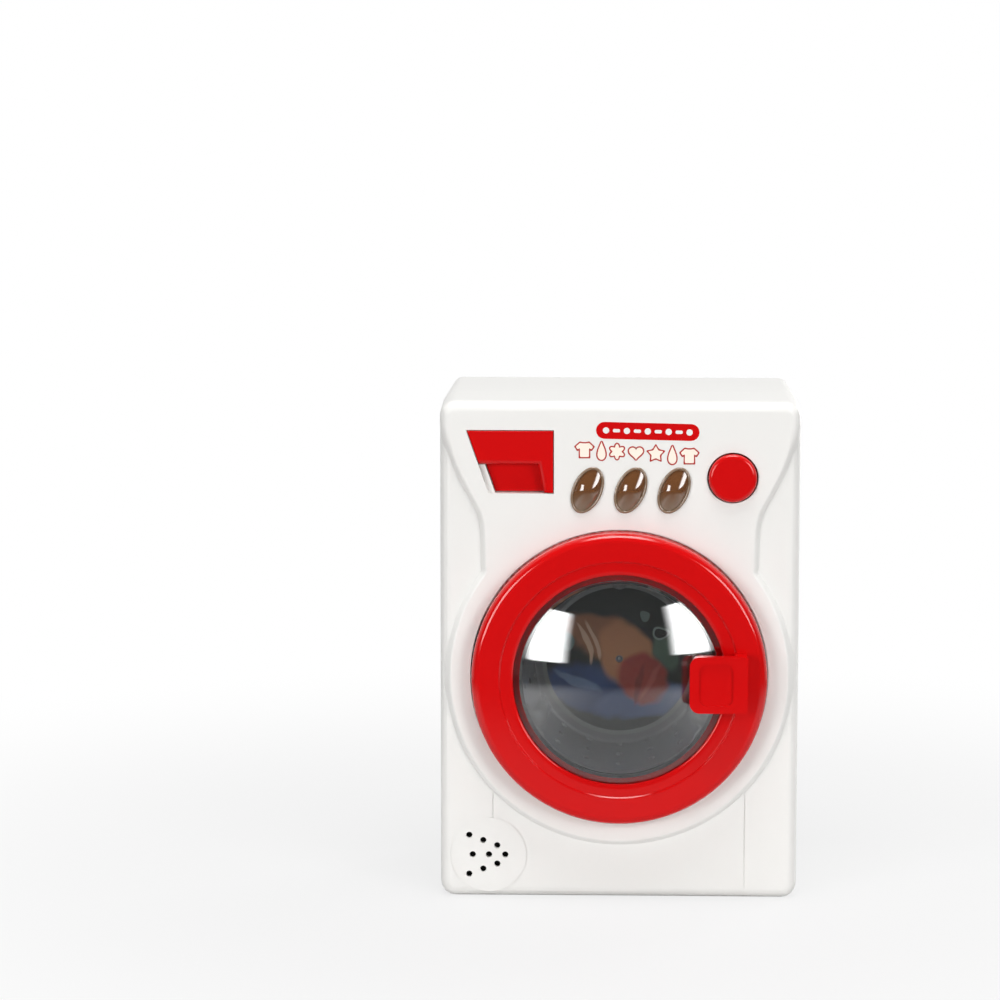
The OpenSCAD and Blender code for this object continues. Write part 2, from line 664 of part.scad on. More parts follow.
module drum_bush() color("peru")
    turned(0, door_z) polygon([[shaft_d / 2 + run_fit, bush_t], [bush_flange_d / 2, bush_t],
        [bush_flange_d / 2, tub_back_t - seat_gap], [bush_d / 2, tub_back_t - seat_gap],
        [bush_d / 2, plate_t], [shaft_d / 2 + run_fit, plate_t]]);

module gearbox_outline(grow)
    soft_rect(box_x0 - grow, box_x1 + grow, door_z + box_z0 - grow, door_z + box_z1 + grow, 5 + grow);

module gearbox_ears() for (p = box_screw_at) {
    translate(p) circle(d = 6.4);
    translate([p[0] < 0 ? p[0] : p[0] - ear_reach, p[1] - 2.8]) square([ear_reach, 5.6]);
}

module gearbox_plate() color("lightgray") difference() {
    slab(plate_t + seat_gap, plate_t + plate_thick) {
        gearbox_outline(1.6);
        gearbox_ears();
    }
    rod(shaft_d + 2 * run_fit, plate_t, plate_t + 3, 0, door_z);
    for (at = [second_at, first_at])
        rod(gear_pin_d, plate_t + 0.4, plate_t + 3, at[0], door_z + at[1]);
    for (p = box_screw_at) rod(small_screw_d + 0.3, plate_t, plate_t + 3, p[0], p[1]);
}

module gearbox_cover() color("whitesmoke") difference() {
    front = plate_t + plate_thick + seat_gap;
    union() {
        slab(front, cover_t) gearbox_outline(1.6);
        slab(front, front + 2.4) gearbox_ears();
        // cradle that grips the motor
        for (z = [-1, 1]) let (zc = door_z + motor_at[1] + z * (motor_flat / 2 + 1))
            block(motor_at[0] - 7, motor_at[0] + 7, cover_t - 0.5, cover_t + 16, zc - 0.9, zc + 0.9);
    }
    slab(front - past, cover_in_t) gearbox_outline(0);
    rod(shaft_d + 2 * run_fit, cover_in_t - past, cover_t + past, 0, door_z);
    rod(6.2, cover_in_t - past, cover_t + past, motor_at[0], door_z + motor_at[1]);
    for (at = [second_at, first_at])
        rod(gear_pin_d, cover_in_t - past, cover_t - 0.6, at[0], door_z + at[1]);
    for (p = box_screw_at) rod(small_screw_d + 0.3, plate_t, cover_t, p[0], p[1]);
}

module gearbox_screws() color("silver") for (p = box_screw_at)
    screw(plate_t + plate_thick + 2.4 + 2 * seat_gap, small_screw_d - 0.1, 5.8, p[0], p[1]);

module gear_pins() color("silver") for (at = [second_at, first_at])
    rod(gear_pin_d - 0.04, plate_t + 0.5, cover_t - 0.7, at[0], door_z + at[1]);

module motor() color("silver") {
    z = door_z + motor_at[1];
    difference() {
        union() {
            slab(motor_t, motor_t + motor_len) intersection() {
                translate([motor_at[0], z]) circle(d = motor_d);
                translate([motor_at[0] - motor_d / 2, z - motor_flat / 2]) square([motor_d, motor_flat]);
            }
            rod(6, motor_t - 1.5, motor_t + past, motor_at[0], z);
            rod(8, motor_t + motor_len - past, motor_t + motor_len + 1.8, motor_at[0], z);
        }
        rod(motor_shaft_d + 2 * run_fit, motor_t - 2, motor_t + 12, motor_at[0], z);
    }
    for (side = [-1, 1]) block(motor_at[0] + side * 6 - 1, motor_at[0] + side * 6 + 1,
        motor_t + motor_len, motor_t + motor_len + 4, z - 0.3, z + 0.3);
}

// ================= control board, lamps and button =================
module control_board() color("darkgreen") difference() {
    block(board_x0, board_x1, board_t + seat_gap, board_t + board_thick, board_z0, board_z1);
    for (p = board_post_at) rod(small_screw_d + 0.3, board_t, board_t + 3, p[0], p[1]);
}

module lamp_leds() color("ivory") for (x = lens_at) {
    rod(5.8, board_t - 1, board_t, x, lens_z);
    rod(5, board_t - 6.2, board_t - 0.5, x, lens_z);
    intersection() {
        translate([x, y_of(board_t - 6.2), lens_z]) sphere(d = 5);
        block(x - 3, x + 3, board_t - 9, board_t - 6, lens_z - 3, lens_z + 3);
    }
}

module button_switch() color("dimgray") {
    block(button_x - 3, button_x + 3, board_t - 4.4, board_t, button_z - 3, button_z + 3);
    rod(3.4, board_t - 5.9, board_t - 4, button_x, button_z);
}

module board_screws() color("silver") for (p = board_post_at)
    screw(board_t + board_thick + seat_gap, small_screw_d - 0.1, 7, p[0], p[1]);

// Smoky oval lens: a raised rim on the panel, a low dome and a body that fills the hole
module lens(x) {
    rim = 1.2;
    function oval(grow, t) = [for (i = [0:39]) let (a = -360 * i / 40,
        u = (lens_w / 2 + grow) * cos(a), v = (lens_len / 2 + grow) * sin(a))
        [x + u * cos(lens_tilt) + v * sin(lens_tilt), y_of(t),
         lens_z - u * sin(lens_tilt) + v * cos(lens_tilt)]];
    color("saddlebrown") {
        loft([oval(-rim - 5, -2.1), oval(-rim - 3.4, -1.9), oval(-rim - 1.6, -1.4), oval(-rim - 0.3, -0.7),
            oval(-rim, -0.5), oval(-rim, panel_back_t + 0.9), oval(-rim - 0.6, panel_back_t + 1.6)]);
        loft([oval(-0.6, -1), oval(0, -0.6), oval(0, -0.02), oval(-rim - 0.7, -0.02),
            oval(-rim - 0.7, -0.9)]);
    }
}
module lamp_lens_left() lens(lens_at[0]);
module lamp_lens_middle() lens(lens_at[1]);
module lamp_lens_right() lens(lens_at[2]);

button_stem_t = board_t - 5.9 - button_travel - 0.4;
module start_button() color("crimson") {
    r = button_d / 2;
    turned(button_x, button_z) polygon([[0, -button_reach], [r - 2, -button_reach],
        [r - 1.2, -button_reach + 0.2], [r - 0.5, -button_reach + 0.7], [r - 0.1, -button_reach + 1.5],
        [r, -button_reach + 2.4], [r, collar_t + seat_gap],
        [button_hole_d / 2 + 1.4, collar_t + seat_gap], [button_hole_d / 2 + 1.4, collar_t + 1.6],
        [r - 1.8, collar_t + 1.6], [r - 1.8, -button_reach + 1.8], [3, -button_reach + 1.8],
        [3, button_stem_t], [0, button_stem_t]]);
}

module button_spring() color("silver") {
    t0 = collar_t + 1.6 + 0.5;
    coil(button_x, button_z, t0, board_t - 0.5, button_d / 2 - 0.6, button_d / 2 - 0.6, 0.8, 4);
}

// ================= speaker =================
speaker_r = speaker_d / 2;
magnet_r = 8;
magnet_t = speaker_t + 6.4;
magnet_h = 5;
coil_r = 4.6;
module speaker_frame() color("gray") turned(speaker_x, speaker_z) polygon([
    [speaker_r - 2, speaker_t], [speaker_r, speaker_t], [speaker_r, speaker_t + speaker_rim],
    [speaker_r - 2.4, speaker_t + speaker_rim], [magnet_r, magnet_t], [magnet_r, magnet_t + magnet_h],
    [0, magnet_t + magnet_h], [0, magnet_t - 0.2], [coil_r, magnet_t - 0.2], [coil_r, magnet_t - 1],
    [magnet_r - 0.8, magnet_t - 1], [speaker_r - 3.4, speaker_t + 2.4], [speaker_r - 2, speaker_t + 2.4]]);

module speaker_cone() color("dimgray") turned(speaker_x, speaker_z) polygon([
    [speaker_r - 2.2, speaker_t + 1.2], [speaker_r - 2.2, speaker_t + 1.7],
    [coil_r - 0.6, magnet_t - 1.2], [coil_r - 0.6, magnet_t - 0.4], [0, magnet_t - 0.4],
    [0, magnet_t - 3], [2.2, magnet_t - 2.6], [coil_r - 1, magnet_t - 1.7],
    [speaker_r - 3.4, speaker_t + 1.2]]);

module speaker_clamp() color("lightgray") difference() {
    t = speaker_t + speaker_rim + seat_gap;
    slab(t, t + 1.8) difference() {
        union() {
            translate([speaker_x, speaker_z]) circle(speaker_d / 2 + 0.6);
            hull_bar(speaker_post_at[0], speaker_post_at[1], 6);
            for (p = speaker_post_at) translate(p) circle(d = 7);
        }
        translate([speaker_x, speaker_z]) circle(speaker_d / 2 - 2.2);
    }
    for (p = speaker_post_at) rod(small_screw_d + 0.3, t - past, t + 3, p[0], p[1]);
}

module speaker_screws() color("silver") for (p = speaker_post_at)
    screw(speaker_t + speaker_rim + 1.8 + 2 * seat_gap, small_screw_d - 0.1, 5.2, p[0], p[1]);

// ================= detergent drawer =================
module drawer_sleeve() color("whitesmoke") difference() {
    front = panel_back_t + seat_gap;
    end = drawer_front_t + drawer_len + 1 + sleeve_wall;
    union() {
        slab(front, end) polygon(drawer_points(slide_fit + sleeve_wall));
        slab(front, front + 1.4) intersection() {
            polygon(drawer_points(slide_fit + sleeve_wall + 2.6));
            difference() {
                panel_2d(-1.5, 1);
                for (p = sleeve_post_at) translate(p) circle(d = post_d + 0.6);
            }
        }
        for (p = sleeve_post_at) slab(sleeve_ear_t + seat_gap, sleeve_ear_t + 2) {
            translate(p) circle(d = post_d + 1);
            hull_bar(p, [drawer_left(drawer_z0) / 2 - drawer_x / 2, p[1]], post_d + 0.2);
        }
    }
    slab(front - past, end - sleeve_wall) polygon(drawer_points(slide_fit, drawer_inset));
    for (p = sleeve_post_at) rod(small_screw_d + 0.3, sleeve_ear_t, sleeve_ear_t + 3, p[0], p[1]);
}

module sleeve_screws() color("silver") for (p = sleeve_post_at)
    screw(sleeve_ear_t + 2 + seat_gap, small_screw_d - 0.1, 6, p[0], p[1]);

module detergent_drawer() color("crimson") difference() {
    end = drawer_front_t + drawer_len;
    grip_t = drawer_front_t + grip_deep;
    slab(drawer_front_t, end) polygon(drawer_points(0, drawer_inset));
    // finger grip below the band, rounded at its front
    loft(concat([grip_ring(drawer_front_t - past, grip_round)],
        [for (a = [0:22.5:90])
            grip_ring(drawer_front_t + grip_round * (1 - cos(a)), grip_round * (1 - sin(a)))],
        [grip_ring(grip_t, 0)]));
    // tray, open on top
    block(drawer_left(drawer_z0) + drawer_inset + drawer_wall, -drawer_x - drawer_wall,
        grip_t + 2, end - drawer_wall, drawer_z0 + drawer_wall, drawer_z1 + past);
    block(drawer_left(drawer_z0) + drawer_inset + drawer_wall - 8, -drawer_x - drawer_wall,
        drawer_front_t + 2, end - drawer_wall, band_z + drawer_wall, drawer_z1 - 1.8);
}

// ================= batteries =================
module battery_cells() color("steelblue") for (k = [0:cells - 1]) translate([0, y_of(cell_t), cell_z(k)])
    rotate([0, k % 2 == 0 ? 90 : -90, 0]) {
        translate([0, 0, -cell_len / 2]) cylinder(d = cell_d, h = cell_len - 1);
        translate([0, 0, cell_len / 2 - 1.2]) cylinder(d = 5.5, h = 1.2);
    }

module battery_springs() color("silver") for (k = [0:cells - 1]) {
    side = k % 2 == 0 ? -1 : 1;
    translate([side * bay_half, y_of(cell_t), cell_z(k)]) rotate([0, -side * 90, 0]) union() {
        translate([0, 0, 0.1]) cylinder(d = 10, h = 0.5);
        turns = 3;
        steps = 10;
        loft([for (i = [0:turns * steps])
            let (s = i / (turns * steps), a = 360 * turns * s, r = mix(4.3, 2.2, s))
            [for (j = [0:5]) let (b = -60 * j, e = r + 0.4 * cos(b))
                [e * cos(a), e * sin(a), mix(0.8, 3.2, s) + 0.4 * sin(b)]]]);
    }
}

module battery_plates() color("silver") for (k = [0:cells - 1]) {
    side = k % 2 == 0 ? 1 : -1;
    translate([side * bay_half, y_of(cell_t), cell_z(k)]) rotate([0, -side * 90, 0]) {
        translate([0, 0, 0.1]) cylinder(d = 10, h = 0.5);
        translate([0, 0, 0.4]) cylinder(d = 6, h = 3.5);
    }
}

module battery_cover() color("whitesmoke") {
    m = lid_margin - cover_fit;
    difference() {
        union() {
            slab(back_t - lid_thick + seat_gap, back_t) soft_rect(-bay_half - m, bay_half + m,
                bay_z0 - m, bay_z1 + lid_top - cover_fit, 2.5 - cover_fit);
            // rim that locates the lid in the bay
            slab(back_t - lid_thick - 1.6, back_t - lid_thick + 0.5) difference() {
                soft_rect(-bay_half + cover_fit, bay_half - cover_fit,
                    bay_z0 + cover_fit, bay_z1 - cover_fit, 1);
                soft_rect(-bay_half + 1.6, bay_half - 1.6, bay_z0 + 1.6, bay_z1 - 1.6, 1);
            }
        }
        rod(small_screw_d + 0.4, back_t - lid_thick - past, back_t + past, 0, lid_screw_z);
        rod(5, back_t - 1, back_t + past, 0, lid_screw_z);
        // finger grooves
        for (k = [-2:2]) block(k * 5 - 1, k * 5 + 1, back_t - 0.6, back_t + past, bay_z0 + 2, bay_z0 + 12);
    }
}

module battery_cover_screw() color("silver") {
    rod(small_screw_d - 0.1, back_t - 9, back_t - 0.9, 0, lid_screw_z);
    rod(4.4, back_t - 1 + 0.05, back_t - 0.1, 0, lid_screw_z);
}

// ================= door =================
module door_hinge_pin() color("silver")
    translate([pin_x, y_of(pin_t), door_z - ear_z1 - 0.3])
        cylinder(d = pin_d - 0.02, h = 2 * ear_z1 + 0.6);

ring_in_t = -door_reach + door_wall;         // back of the ring's front plate
lip_t = -rim_reach + 1.3;                    // seat of the dome's flange
flange_r = window_r + 4.3;
flange_back_t = lip_t + dome_wall + seat_gap;
rib_w = 1.5;
back_ring_t = flange_back_t + seat_gap;
back_ring_thick = 2.2;
door_screw_r = flange_r + rib_w + 2.4;
door_screw_at = [for (a = [45:90:315]) [door_screw_r * cos(a), door_z + door_screw_r * sin(a)]];
handle_peg_d = 4.2;
handle_leg_x = handle_end - 6.4;
handle_peg_at = [for (z = [-9.5, 9.5]) [handle_leg_x + 3.2, door_z + z]];
door_screw_d = 2;
function arc(cx, ct, r, a0, a1, steps) = [for (i = [0:steps]) let (a = mix(a0, a1, i / steps))
    [cx + r * cos(a), ct + r * sin(a)]];

module door_ring() color("crimson") {
    inner_r = door_r - door_wall;
    difference() {
        union() {
            turned(0, door_z) polygon(concat(
                [[door_r, rear_door_t], [door_r, -door_reach + door_edge_r]],
                arc(door_r - door_edge_r, -door_reach + door_edge_r, door_edge_r, 0, -90, 8),
                [[face_in_r + 1, -door_reach], [face_in_r, -door_reach + 0.1],
                 [window_r + rim_w, -rim_reach - rim_step], [window_r + 0.6, -rim_reach],
                 [window_r, -rim_reach + 0.3], [window_r, lip_t],
                 [flange_r + 0.2, lip_t], [flange_r + 0.2, flange_back_t], [flange_r + rib_w, flange_back_t],
                 [flange_r + rib_w, ring_in_t]],
                arc(inner_r - 2, ring_in_t + 2, 2, -90, 0, 3),
                [[inner_r, rear_door_t]]));
            for (p = door_screw_at) rod(5.4, ring_in_t - 0.5, flange_back_t, p[0], p[1]);
            // hinge knuckles
            for (z = [knuckle_z0, -ear_z0 + 0.3]) translate([0, 0, door_z + z])
                linear_extrude(ear_z0 - 0.3 - knuckle_z0) {
                    translate([pin_x, y_of(pin_t)]) circle(d = knuckle_d);
                    translate([pin_x - knuckle_d / 2, y_of(ring_in_t - 0.5)])
                        square([knuckle_d, pin_t - ring_in_t + 0.5]);
                }
            // tongue of the catch, with a low bump that snaps behind the casing
            block(catch_x - catch_w / 2, catch_x + catch_w / 2, ring_in_t - 0.5, catch_t,
                door_z - catch_half, door_z + catch_half);
        }
        translate([pin_x, y_of(pin_t), door_z - ear_z0]) cylinder(d = pin_d + 2 * run_fit, h = 2 * ear_z0);
        // relief for the hinge ears when the door stands open
        for (z = [-ear_z1 - 0.8, ear_z0 - 0.8]) block(-door_r - past, ear_arm_x0, pin_t + 4.4,
            rear_door_t + past, door_z + z, door_z + z + ear_z1 - ear_z0 + 1.6);
        for (p = door_screw_at) rod(door_screw_d, ring_in_t - 0.9, flange_back_t + past, p[0], p[1]);
        for (p = handle_peg_at) rod(handle_peg_d + 0.3, -door_reach - past, ring_in_t + past, p[0], p[1]);
    }
}

dome_high = dome_reach - rim_reach;
dome_base_r = window_r - seat_gap;
dome_ball_r = (dome_base_r * dome_base_r + dome_high * dome_high) / (2 * dome_high);
dome_ball_t = -dome_reach + dome_ball_r;
module door_window() color("gainsboro", 0.4) {
    edge = asin(dome_base_r / dome_ball_r);
    inner = dome_ball_r - dome_wall;
    turned(0, door_z) polygon(concat(
        [for (i = [0:20]) let (a = edge * i / 20)
            [dome_ball_r * sin(a), dome_ball_t - dome_ball_r * cos(a)]],
        [[dome_base_r, lip_t + seat_gap], [flange_r, lip_t + seat_gap], [flange_r, lip_t + dome_wall],
         [dome_base_r - dome_wall, lip_t + dome_wall]],
        [for (i = [20:-1:0]) let (a = asin((dome_base_r - dome_wall) / inner) * i / 20)
            [inner * sin(a), dome_ball_t - inner * cos(a)]]));
}

module door_back_ring() color("crimson") difference() {
    union() {
        turned(0, door_z) polygon([[window_r - 1.4, back_ring_t], [flange_r, back_ring_t],
            [flange_r, back_ring_t + back_ring_thick], [window_r - 0.6, back_ring_t + back_ring_thick],
            [window_r - 1.4, back_ring_t + back_ring_thick - 0.8]]);
        for (p = door_screw_at) slab(back_ring_t, back_ring_t + back_ring_thick) {
            translate(p) circle(d = 6);
            intersection() {
                hull_bar(p, [0, door_z], 5.2);
                difference() {
                    translate([0, door_z]) circle(door_screw_r);
                    translate([0, door_z]) circle(flange_r - 1);
                }
            }
        }
    }
    for (p = door_screw_at) rod(door_screw_d + 0.3, back_ring_t - past, back_ring_t + 4, p[0], p[1]);
}

module door_handle() color("crimson") difference() {
    x0 = handle_end - handle_len;
    z0 = door_z - handle_h / 2;
    z1 = door_z + handle_h / 2;
    under_t = -handle_reach + handle_thick;
    union() {
        slab(-handle_reach, under_t) difference() {
            soft_rect(x0, handle_end, z0, z1, 5);
            translate([handle_end - 5.01, z0 - past]) square([5.01, handle_h + 2 * past]);
        }
        slab(-handle_reach, -door_reach - seat_gap)
            soft_rect(handle_leg_x, handle_end, z0, z1, 0.8);
        for (p = handle_peg_at) rod(handle_peg_d, -door_reach - 0.5, ring_in_t, p[0], p[1]);
    }
    // thumb recess
    slab(-handle_reach - past, -handle_reach + thumb_deep)
        soft_rect(x0 + 4.5, x0 + 4.5 + thumb_w, door_z - thumb_h / 2, door_z + thumb_h / 2, 4);
    for (p = handle_peg_at) rod(1.6, ring_in_t - 6, ring_in_t + past, p[0], p[1]);
}

module door_screws() color("silver") {
    for (p = door_screw_at)
        screw(back_ring_t + back_ring_thick + seat_gap, door_screw_d - 0.1, 4.6, p[0], p[1]);
    for (p = handle_peg_at) screw(ring_in_t + seat_gap, 1.5, 5, p[0], p[1]);
}

// ================= drum =================
module drum() color("gray") difference() {
    back = drum_back_t + drum_wall;
    union() {
        turned(0, door_z) polygon([[drum_mouth_r - drum_wall, drum_mouth_t], [drum_mouth_r, drum_mouth_t],
            [drum_back_r, back], [5, back], [5, hub_t], [0, hub_t], [0, drum_back_t],
            [drum_back_r - drum_wall, drum_back_t]]);
        // three lifting paddles
        intersection() {
            turned(0, door_z) polygon([[0, drum_mouth_t + 3],
                [drum_mouth_r - 0.9 - 3 * drum_slope, drum_mouth_t + 3],
                [drum_back_r - 0.9, drum_back_t + 0.5], [0, drum_back_t + 0.5]]);
            for (a = [30:120:270]) translate([0, 0, door_z]) rotate([0, a, 0]) translate([0, 0, -door_z])
                slab(drum_mouth_t + 3, drum_back_t + 0.5) translate([drum_back_r, door_z])
                    polygon([[18, -7], [0, -3.6], [-1.6, -2.2], [-2.2, 0], [-1.6, 2.2], [0, 3.6], [18, 7]]);
        }
    }
    // holes round the wall, between the paddles
    for (k = [0:17], t = [drum_mouth_t + 9, drum_mouth_t + 20, drum_mouth_t + 31])
        if (k % 6 != 0)
            translate([0, y_of(t), door_z]) rotate([0, 30 + k * 20, 0]) translate([drum_back_r - 6, 0, 0])
                rotate([0, 90, 0]) cylinder(d = 3.2, h = 12);
    rod(shaft_d, drum_back_t + 0.4, back + 3, 0, door_z);
    rod(1.8, drum_back_t - past, drum_back_t + 2, 0, door_z);
}

module drum_disc() color("khaki") difference() {
    rod(2 * disc_r, drum_back_t - disc_thick, drum_back_t - 0.02, 0, door_z);
    rod(3.6, drum_back_t - disc_thick - past, drum_back_t, 0, door_z);
}

shaft_end_t = cover_t - 0.4;
module drum_shaft() color("silver") difference() {
    rod(shaft_d - 0.02, drum_back_t + 0.5, shaft_end_t, 0, door_z);
    rod(1.4, drum_back_t, drum_back_t + 8, 0, door_z);
}

module drum_screw() color("silver")
    rod(1.38, drum_back_t - 0.3, drum_back_t + 7, 0, door_z);

module drum_gear() color("ivory") {
    gear(drum_teeth, 0, layer_a, [0, 0], shaft_d);
    turned(0, door_z) polygon([[shaft_d / 2, layer_a + gear_w - 0.2], [3.4, layer_a + gear_w - 0.2],
        [3.4, layer_a + gear_w + 0.3], [shaft_d / 2, layer_a + gear_w + 0.3]]);
}

module stepped_gear(t_pinion, t_wheel, at, pinion_phase, wheel_phase) color("ivory") {
    bore = gear_pin_d + 2 * run_fit;
    gear(pinion_teeth, pinion_phase, t_pinion, at, bore);
    gear(wheel_teeth, wheel_phase, t_wheel, at, bore);
    turned(at[0], door_z + at[1]) polygon([[bore / 2, t_pinion + gear_w - 0.1],
        [2.3, t_pinion + gear_w - 0.1], [2.3, t_wheel + 0.1], [bore / 2, t_wheel + 0.1]]);
}
module second_gear() stepped_gear(layer_a, layer_b, second_at, second_phase, 0);
module first_gear() stepped_gear(layer_b, layer_c, first_at, first_phase, 0);

module motor_pinion() color("gold")
    gear(pinion_teeth, motor_phase, layer_c, motor_at, motor_shaft_d);

module motor_shaft() color("silver")
    rod(motor_shaft_d - 0.02, layer_c - 0.3, motor_t + 10, motor_at[0], door_z + motor_at[1]);

front_shell();
rear_shell();
shell_screws();
drum_tub();
tub_screws();
drum_bush();
gearbox_plate();
gearbox_cover();
gearbox_screws();
gear_pins();
motor();
control_board();
lamp_leds();
button_switch();
board_screws();
lamp_lens_left();
lamp_lens_middle();
lamp_lens_right();
speaker_frame();
speaker_cone();
speaker_clamp();
speaker_screws();
drawer_sleeve();
sleeve_screws();
battery_springs();
battery_plates();
battery_cells();
door_hinge_pin();
door_ring();
door_window();
door_back_ring();
door_handle();
door_screws();
drum();
drum_disc();
drum_shaft();
drum_gear();
drum_screw();
second_gear();
first_gear();
motor_pinion();
motor_shaft();
start_button();
button_spring();
detergent_drawer();
battery_cover();
battery_cover_screw();
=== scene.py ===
"""Dresses the toy washing machine: shells, clear door, smoky lenses, prints, drum and stage."""

import math

import bmesh
import bpy
from mathutils import Matrix, Vector


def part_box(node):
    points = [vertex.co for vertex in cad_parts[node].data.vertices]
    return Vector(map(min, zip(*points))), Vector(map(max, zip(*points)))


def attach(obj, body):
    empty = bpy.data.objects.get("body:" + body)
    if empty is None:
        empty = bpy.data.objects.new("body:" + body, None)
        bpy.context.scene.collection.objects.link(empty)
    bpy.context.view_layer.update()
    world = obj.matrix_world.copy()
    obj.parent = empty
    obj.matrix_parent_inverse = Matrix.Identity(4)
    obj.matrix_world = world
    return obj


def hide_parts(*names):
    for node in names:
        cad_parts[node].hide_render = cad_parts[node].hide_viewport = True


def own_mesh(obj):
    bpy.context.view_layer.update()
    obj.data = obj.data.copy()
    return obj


bl_info = {
    "name": "Toy Washing Machine",
    "version": (1, 0, 0),
    "blender": (4, 5, 0),
    "location": "View3D > Sidebar > Washer",
    "description": "Finishes the pieces of a toy washing machine around its packed construction",
    "category": "Object",
}

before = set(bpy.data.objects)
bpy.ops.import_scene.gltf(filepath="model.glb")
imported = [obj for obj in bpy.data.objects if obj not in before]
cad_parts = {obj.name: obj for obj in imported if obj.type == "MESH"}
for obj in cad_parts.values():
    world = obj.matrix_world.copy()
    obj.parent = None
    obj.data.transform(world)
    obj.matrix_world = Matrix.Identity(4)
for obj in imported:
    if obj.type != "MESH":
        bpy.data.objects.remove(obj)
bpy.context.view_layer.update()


def middle(node):
    """The middle of a CAD node's box."""
    return [(low + high) / 2 for low, high in zip(*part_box(node))]


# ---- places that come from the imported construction, in metres ----

MM = 0.001
BODY_DEPTH = 114 * MM
BODY_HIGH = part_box("rear_shell")[1]
PANEL_Y = BODY_HIGH.y - BODY_DEPTH      # front face of the raised panel
SEAM_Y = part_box("front_shell")[1].y
DOOR_Z = middle("door_back_ring")[2]
LENS_NODES = ("lamp_lens_left", "lamp_lens_middle", "lamp_lens_right")
LENS_Z = middle("lamp_lens_middle")[2]


# ---- profiles, in millimetres ----

# the door ring's front: (radius, depth behind the panel) as packed and as shown, and the rounding
RIM_STEPS = (
    ((57.3, -10), (57.3, -10), 0.5),
    ((56.3, -9.9), (56.3, -9.25), 0.4),
    ((49.3, -8.5), (50.9, -8.75), 0.2),
    ((48.7, -8.2), (50.3, -8.3), 0.15),
    ((48.7, -7.2), (50.3, -7.2), 0),
)

# behind the button's skirt, the collar, the spring's hollow and the stem: (radius, depth)
BUTTON_BACK = (
    (11.4, 10.1), (13.5, 10.1), (13.5, 11.6), (9.6, 11.6), (9.6, -1), (3, -1), (3, 15.2), (0, 15.2),
)

# the rim round a lamp lens: (distance in from its outline, height over the panel)
LENS_RIM = (
    (1.3, 0), (1.3, 0.55), (1.05, 0.95), (0.75, 1.1), (0.4, 1.05), (0.1, 0.8), (0, 0.5), (0, 0),
)


# ---- colours ----

def screen(red, green, blue):
    """A colour written as on a screen, from 0 to 255, as Blender's linear colour."""
    def linear(value):
        share = value / 255
        return share / 12.92 if share <= 0.04045 else ((share + 0.055) / 1.055) ** 2.4
    return linear(red), linear(green), linear(blue)


# ---- sizes and colours that a user would change ----

def colour_of(name, description, default):
    """A colour property, linear."""
    return bpy.props.FloatVectorProperty(
        name=name, description=description, default=default, subtype="COLOR", min=0, max=1)


def length_of(name, description, default):
    """A length property, in metres."""
    return bpy.props.FloatProperty(
        name=name, description=description, default=default, unit="LENGTH", subtype="DISTANCE",
        min=0, precision=5)


class WasherColours(bpy.types.PropertyGroup):
    """Colours of the finishes"""
    casing: colour_of("Casing", "White of the moulded casing", screen(236, 235, 232))
    trim: colour_of("Trim", "Red of the door, drawer and button", screen(206, 8, 10))
    smoke: colour_of("Smoke", "Brown tint of the lamp lenses", screen(132, 84, 46))
    # this tint is also painted on the lower part of each lens as the floor's reflection
    smoke_rim: colour_of("Smoke rim", "Tint of the rims of the lamp lenses", screen(158, 132, 108))
    drum: colour_of("Drum", "Grey of the drum", screen(140, 142, 142))
    tub: colour_of("Tub", "Grey of the tub round the drum", screen(84, 86, 88))
    cream: colour_of("Cream", "Fill of the printed figures", screen(252, 240, 226))
    outline: colour_of("Outline", "Outline of the printed figures", screen(176, 40, 34))
    card: colour_of("Card", "Ground of the picture in the drum", screen(48, 56, 50))
    card_rim: colour_of("Card rim", "Pale border of the picture in the drum", screen(150, 154, 152))


class WasherSizes(bpy.types.PropertyGroup):
    """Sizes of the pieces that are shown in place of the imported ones"""
    soft_edge: length_of("Soft edge", "Radius on the edges of the trim", 0.8 * MM)
    dome_wall: length_of("Dome wall", "Thickness of the clear dome", 1.8 * MM)
    print_thick: length_of("Print", "Thickness of the printed figures", 0.06 * MM)
    button_radius: length_of("Button radius", "Radius of the start button", 11.4 * MM)
    button_edge: length_of("Button edge", "Radius on the edge of the button", 2.0 * MM)
    lens_length: length_of("Lens length", "Length of a lamp lens", 23.2 * MM)
    lens_width: length_of("Lens width", "Width of a lamp lens", 14.1 * MM)
    lens_rise: length_of("Lens rise", "Height of the lens over its seat", 2.7 * MM)
    lens_tilt: bpy.props.FloatProperty(
        name="Lens tilt", description="Lean of the lenses to the right", default=math.radians(23),
        unit="ROTATION")


# ---- shader nodes ----

def node_of(tree, kind, **settings):
    """Adds a shader node and sets its values by name."""
    node = tree.nodes.new(kind)
    for key, value in settings.items():
        if hasattr(node, key):
            setattr(node, key, value)
        else:
            node.inputs[key.replace("_", " ")].default_value = value
    return node


def fed(tree, node, *values):
    """Fills a node's first inputs, each with a plain value or another node's output."""
    for socket, value in zip(node.inputs, values):
        if isinstance(value, bpy.types.NodeSocket):
            tree.links.new(value, socket)
        else:
            socket.default_value = value
    return node


def maths(tree, operation, *values):
    """A number worked out by a math node."""
    return fed(tree, node_of(tree, "ShaderNodeMath", operation=operation), *values).outputs["Value"]


def vector_maths(tree, operation, *values):
    """A vector worked out by a vector math node."""
    node = node_of(tree, "ShaderNodeVectorMath", operation=operation)
    return fed(tree, node, *values).outputs["Vector"]


def magnitude(tree, source):
    """The length of a vector."""
    node = node_of(tree, "ShaderNodeVectorMath", operation="LENGTH")
    return fed(tree, node, source).outputs["Value"]


def place_on(tree):
    """The point's place in the piece's own coordinates."""
    return node_of(tree, "ShaderNodeTexCoord").outputs["Object"]


def axes(tree, source):
    """The X, Y and Z outputs of a vector."""
    return fed(tree, node_of(tree, "ShaderNodeSeparateXYZ"), source).outputs


